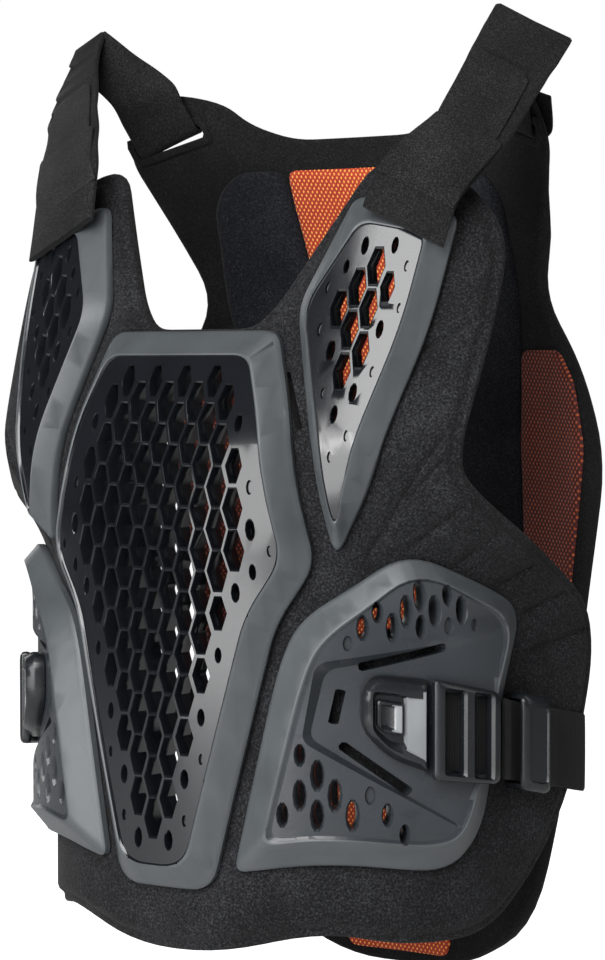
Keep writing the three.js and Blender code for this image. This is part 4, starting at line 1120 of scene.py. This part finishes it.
LADDER_FROM = 125.3
LADDER_TO = 156.3
LADDER_HALF = 25
LADDER_BAR = 5
LADDER_SIDE = 4.5
LADDER_BASE = SEAT + CREST + 0.3
LADDER_LEVELS = [(1.4, 0), (0.3, 0.8), (0, 2.4), (0.3, 4.6), (1.4, 5.8), (3, 6.2)]
KEEPER_FROM = 174.3
KEEPER_TO = 194.3
KEEPER_HALF = 24.5
KEEPER_TOP = SEAT + 15
KEEPER_LID = 3.2

# The boss stands in the solid plate's pocket: that plate's field less its pocket, and a small gap
BOSS_BASE = SEAT + 12.2 - 4.5 + 0.3
BOSS_LEVELS = [(0.4, 0), (0, 0.6), (0, 5), (0.8, 7), (2.6, 9.4), (4, 9.8)]
INLAY_LEVELS = [(-0.4, 4.8), (0, 8), (0.5, 8.5)]
FACET_SLOPE = 0.12
# Height over the boss's base above which faces inside the facet outlines get the painted reflection.
REFLECTION_ABOVE = 6.5
boss_rows = along_strap([
    (96, 16, 1.2), (102, 22.5, 1), (125, 24, 0.3), (125, -21.5, 0.3), (108, -17.5, 1.2), (96, -5, 1.2),
], 6)
mouth_rows = along_strap([
    (100.5, 15, 0.6), (115, 15.2, 0.4), (115, -14, 0.6), (108, -13, 0.6), (100.5, -5, 0.6),
], 5)
floor_rows = along_strap([
    (102, 13, 0.6), (114, 13.5, 0.4), (114, -9, 0.6), (108.5, -9, 0.6), (102, -3.5, 0.6),
], 4)
# The boss's sloped facet, which carries the painted reflection.
facet_rows = along_strap([(114.2, 14, 0.3), (123.2, 14.5, 0.3), (123.2, -16, 0.3), (114.2, -12, 0.3)], 3)
inlay_rows = along_strap([
    (102.6, 10.5, 0.4), (113, 10.5, 0.3), (113, -5, 0.3), (106, -5, 0.4), (102.6, -2, 0.4),
], 4)
dent_rows = along_strap([(104, 9, 0.3), (111.8, 9, 0.3), (111.8, -3.4, 0.3), (104, -3.4, 0.3)], 3)
deep_rows = along_strap([(104.6, 8, 0.3), (107.4, 8, 0.3), (107.4, -1.4, 0.3), (104.6, -1.4, 0.3)], 3)
# The inlay's sloped facet, which carries the painted reflection.
shine_rows = along_strap([(108.4, 9.4, 0.2), (112.6, 9.4, 0.2), (112.6, -3.8, 0.2), (108.4, -3.8, 0.2)], 2)


def raised(levels, base):
    return [(inset, base + h) for inset, h in levels]


def hollow(floor, low, mouth, high, clear):
    """A cutter that widens from its floor to its mouth."""
    return loft([(outline(floor), low), (outline(mouth), high), (outline(mouth), clear)])


def sloped_cut(rows, high, clear):
    """A cutter that leaves a face sloping down towards the chest's middle, the face that gets the painted
    reflection.
    """
    far = max(c["u"] for c in rows)
    return loft([(outline(rows), lambda u, z: high - (far - u) * FACET_SLOPE), (outline(rows), clear)])


def buckle_part(name, bm, reflection_rows, node_name):
    slice_flat(bm, 5, 9)
    # The light grey second material inside the facet outline and high over the base is a painted reflection.
    paint_field(bm, reflection_rows, 0, BOSS_BASE + REFLECTION_ABOVE)
    lay(bm, on_front)
    pair(name, bm, [buckle_plastic, painted_reflection_plastic], "buckle", node_name)


def buckle_anchor():
    base = BOSS_BASE
    boss = insets(boss_rows, raised(BOSS_LEVELS, base))
    boss = cut(boss, hollow(floor_rows, base + 5, mouth_rows, base + 9.9, base + 14))
    boss = cut(boss, sloped_cut(facet_rows, base + 9.6, base + 14))
    inlay = insets(inlay_rows, raised(INLAY_LEVELS, base))
    inlay = cut(inlay, hollow(deep_rows, base + 5.6, dent_rows, base + 8.6, base + 13))
    inlay = cut(inlay, sloped_cut(shine_rows, base + 8.3, base + 13))
    buckle_part("buckle_boss", boss, facet_rows, "buckle_anchor")
    buckle_part("buckle_inlay", inlay, shine_rows, None)


def ladder_gap(begin, end):
    """One opening between the bars, with rounded lips."""
    reach = LADDER_HALF - LADDER_SIDE
    gap = along_strap([(begin, reach, 0.3), (end, reach, 0.3), (end, -reach, 0.3), (begin, -reach, 0.3)], 5)
    straight, wider = outline(gap, 0), outline(gap, -1)
    base = LADDER_BASE
    return [(straight, base - 1), (straight, base + 4.6), (wider, base + 6.3), (wider, base + 9)]


def ladder_buckle():
    near, far = LADDER_HALF, LADDER_HALF * 0.92
    rows = along_strap([
        (LADDER_FROM, near, 0.5), (LADDER_TO, far, 1), (LADDER_TO, -far, 1), (LADDER_FROM, -near, 0.5),
    ], 5)
    bm = insets(rows, raised(LADDER_LEVELS, LADDER_BASE))
    cutter = bmesh.new()
    pitch = (LADDER_TO - LADDER_FROM - LADDER_BAR) / 2
    for i in (0, 1):
        begin = LADDER_FROM + LADDER_BAR + i * pitch
        add_loft(cutter, ladder_gap(begin, begin + pitch - LADDER_BAR))
    bm = cut(bm, cutter)
    slice_flat(bm, 5, 9)
    lay(bm, on_front)
    pair("ladder_bars", bm, [buckle_plastic], "buckle", "ladder_buckle")


def keeper_outline(begin, end, half, rounding):
    return along_strap([(begin, half, 1), (end, half, 1), (end, -half, 1), (begin, -half, 1)], rounding)


def keeper():
    base, top = SEAT, KEEPER_TOP
    rows = keeper_outline(KEEPER_FROM, KEEPER_TO, KEEPER_HALF, 5)
    bm = insets(rows, [(0, base), (0, top - 4), (0.5, top - 2), (2, top - 0.5), (4, top)])
    passage = keeper_outline(KEEPER_FROM - 5, KEEPER_TO + 5, KEEPER_HALF - KEEPER_LID, 0.5)
    bm = cut(bm, insets(passage, [(0, base + 1.9), (0, top - KEEPER_LID)]))
    recess = keeper_outline(KEEPER_FROM + 4, KEEPER_TO - 3, KEEPER_HALF - 5, 3)
    bm = cut(bm, insets(recess, [(0.6, top - 1.2), (0, top - 0.2), (-0.4, top + 2)]))
    slice_flat(bm, 5, 9)
    lay(bm, on_front)
    pair("strap_loop", bm, [buckle_plastic], "buckle", "strap_keeper")


FLANK = FRONT_PANEL["width"] * 0.935
# The strap's end behind the back carrier, from the flank inwards
BEHIND_BACK = (116, 110, 102.2, 94)


def upright(centres, width, thick):
    return [station(centre, Vector((0, 0, 1)), width, thick) for centre in centres]


def side_straps():
    passage = SEAT + 7
    on_foam = FRONT_FOAM["face"] + WEBBING["thick"] / 2 + WEBBING["clear"]
    behind = PANEL_THICKNESS + WEBBING["thick"] / 2 + WEBBING["clear"]
    rows = [
        (158.8, LADDER_BASE + 3), (165.3, passage + 6), (KEEPER_FROM - 2, passage), (KEEPER_TO, passage),
        (KEEPER_TO + 14, on_foam + 0.8), (FLANK, on_foam + 0.6),
    ]
    front = [on_front(u, strap_z(u), h) for u, h in rows]
    back = [on_back(u, strap_z(FLANK) - 6, behind) for u in BEHIND_BACK]
    begin, end = front[-1], back[0]
    bulge = (begin + end) / 2 + Vector((1, 1, 0))
    free = [begin * (1 - t) ** 2 + bulge * 2 * t * (1 - t) + end * t * t for t in (0.2, 0.4, 0.6, 0.8)]
    strap = upright(front + free + back, WEBBING["width"], WEBBING["thick"])
    bm = band_mesh(smooth_stations(strap, 5))
    pair("side_webbing", bm, [black_webbing], "webbing", "side_strap", sharp=50)
    places = (LADDER_FROM + 3, LADDER_FROM + 12, LADDER_TO - 8, LADDER_TO + 2)
    leaf = upright([on_front(u, strap_z(u), LADDER_BASE - 0.9) for u in places], WEBBING["width"] - 2, 1.2)
    pair("webbing_leaf", band_mesh(smooth_stations(leaf, 3)), [black_webbing], "webbing", sharp=50)


# Camera, light and floor. The camera's sideways shift is in pixels of the picture.
PICTURE_HEIGHT = 960
CAMERA = {
    "azimuth": 35, "elevation": 2, "distance": 1.6, "target": (0, 0, -0.245), "lens": 112.8, "shift": -3.5,
}
FLOOR = {"reach": 6, "z": -0.56}
# Softboxes: degrees round and up, metres away, width and height in metres, watts
LIGHTS = {
    "front_low": (-5, 4, 2.0, 1.35, 1.0, 27),
    "front_main": (16, 30, 2.0, 1.1, 1.1, 34),
    "right_soft": (95, 22, 1.9, 0.7, 1.3, 4),
    "top_soft": (30, 72, 1.8, 1.2, 0.9, 3),
    "left_soft": (-112, 15, 2.0, 0.5, 1.3, 4),
}
WORLD_FILL = 0.05


def aimed(name, data, azimuth, elevation, distance):
    """An object that looks at the camera's target from that side."""
    a, e = math.radians(azimuth), math.radians(elevation)
    way = Vector((math.sin(a) * math.cos(e), -math.cos(a) * math.cos(e), math.sin(e)))
    obj = bpy.data.objects.new(name, data)
    obj.location = Vector(CAMERA["target"]) + way * distance
    obj.rotation_euler = way.to_track_quat("Z", "Y").to_euler()
    bpy.context.scene.collection.objects.link(obj)
    return obj


def camera():
    data = bpy.data.cameras.new("camera")
    data.sensor_fit = "VERTICAL"
    data.sensor_height = 36
    data.lens = CAMERA["lens"]
    data.shift_x = CAMERA["shift"] / PICTURE_HEIGHT
    data.clip_end = 50
    obj = aimed("camera", data, CAMERA["azimuth"], CAMERA["elevation"], CAMERA["distance"])
    bpy.context.scene.camera = obj


def softbox(name, azimuth, elevation, distance, width, height, power):
    data = bpy.data.lights.new(name, "AREA")
    data.shape = "RECTANGLE"
    data.size, data.size_y = width, height
    data.energy = power
    aimed(name, data, azimuth, elevation, distance)


def studio():
    world = bpy.data.worlds.new("studio")
    bpy.context.scene.world = world
    world.use_nodes = True
    tree = world.node_tree
    background = tree.nodes["Background"]
    seen = node(tree, "ShaderNodeLightPath").outputs["Is Camera Ray"]
    limits = {"Value": seen, "To Min": WORLD_FILL, "To Max": 1.0}
    strength = node(tree, "ShaderNodeMapRange", limits).outputs[0]
    background.inputs["Color"].default_value = (1, 1, 1, 1)
    tree.links.new(strength, background.inputs["Strength"])
    for name, row in LIGHTS.items():
        softbox(name, *row)
    bpy.context.scene.view_settings.view_transform = "Standard"


def floor_paper():
    floor = bmesh.new()
    bmesh.ops.create_grid(floor, x_segments=1, y_segments=1, size=FLOOR["reach"])
    bmesh.ops.translate(floor, verts=floor.verts, vec=(0, 0, FLOOR["z"]))
    obj = as_object(floor, "floor")
    material, tree, shader = new_material("floor_paper", (0.93, 0.93, 0.93), 0.9)
    seen = node(tree, "ShaderNodeLightPath").outputs["Is Camera Ray"]
    shader.inputs["Emission Color"].default_value = (1, 1, 1, 1)
    tree.links.new(seen, shader.inputs["Emission Strength"])
    obj.data.materials.append(material)


camera()
studio()
floor_paper()
front_foam()
chest_plate()
upper_plate()
lower_plate()
buckle_anchor()
ladder_buckle()
keeper()
side_straps()
shoulder_straps()
back_foam()
ear_ring()
back_pads()
back_mesh_centre()
back_mesh_wings()
outer_back_plate()
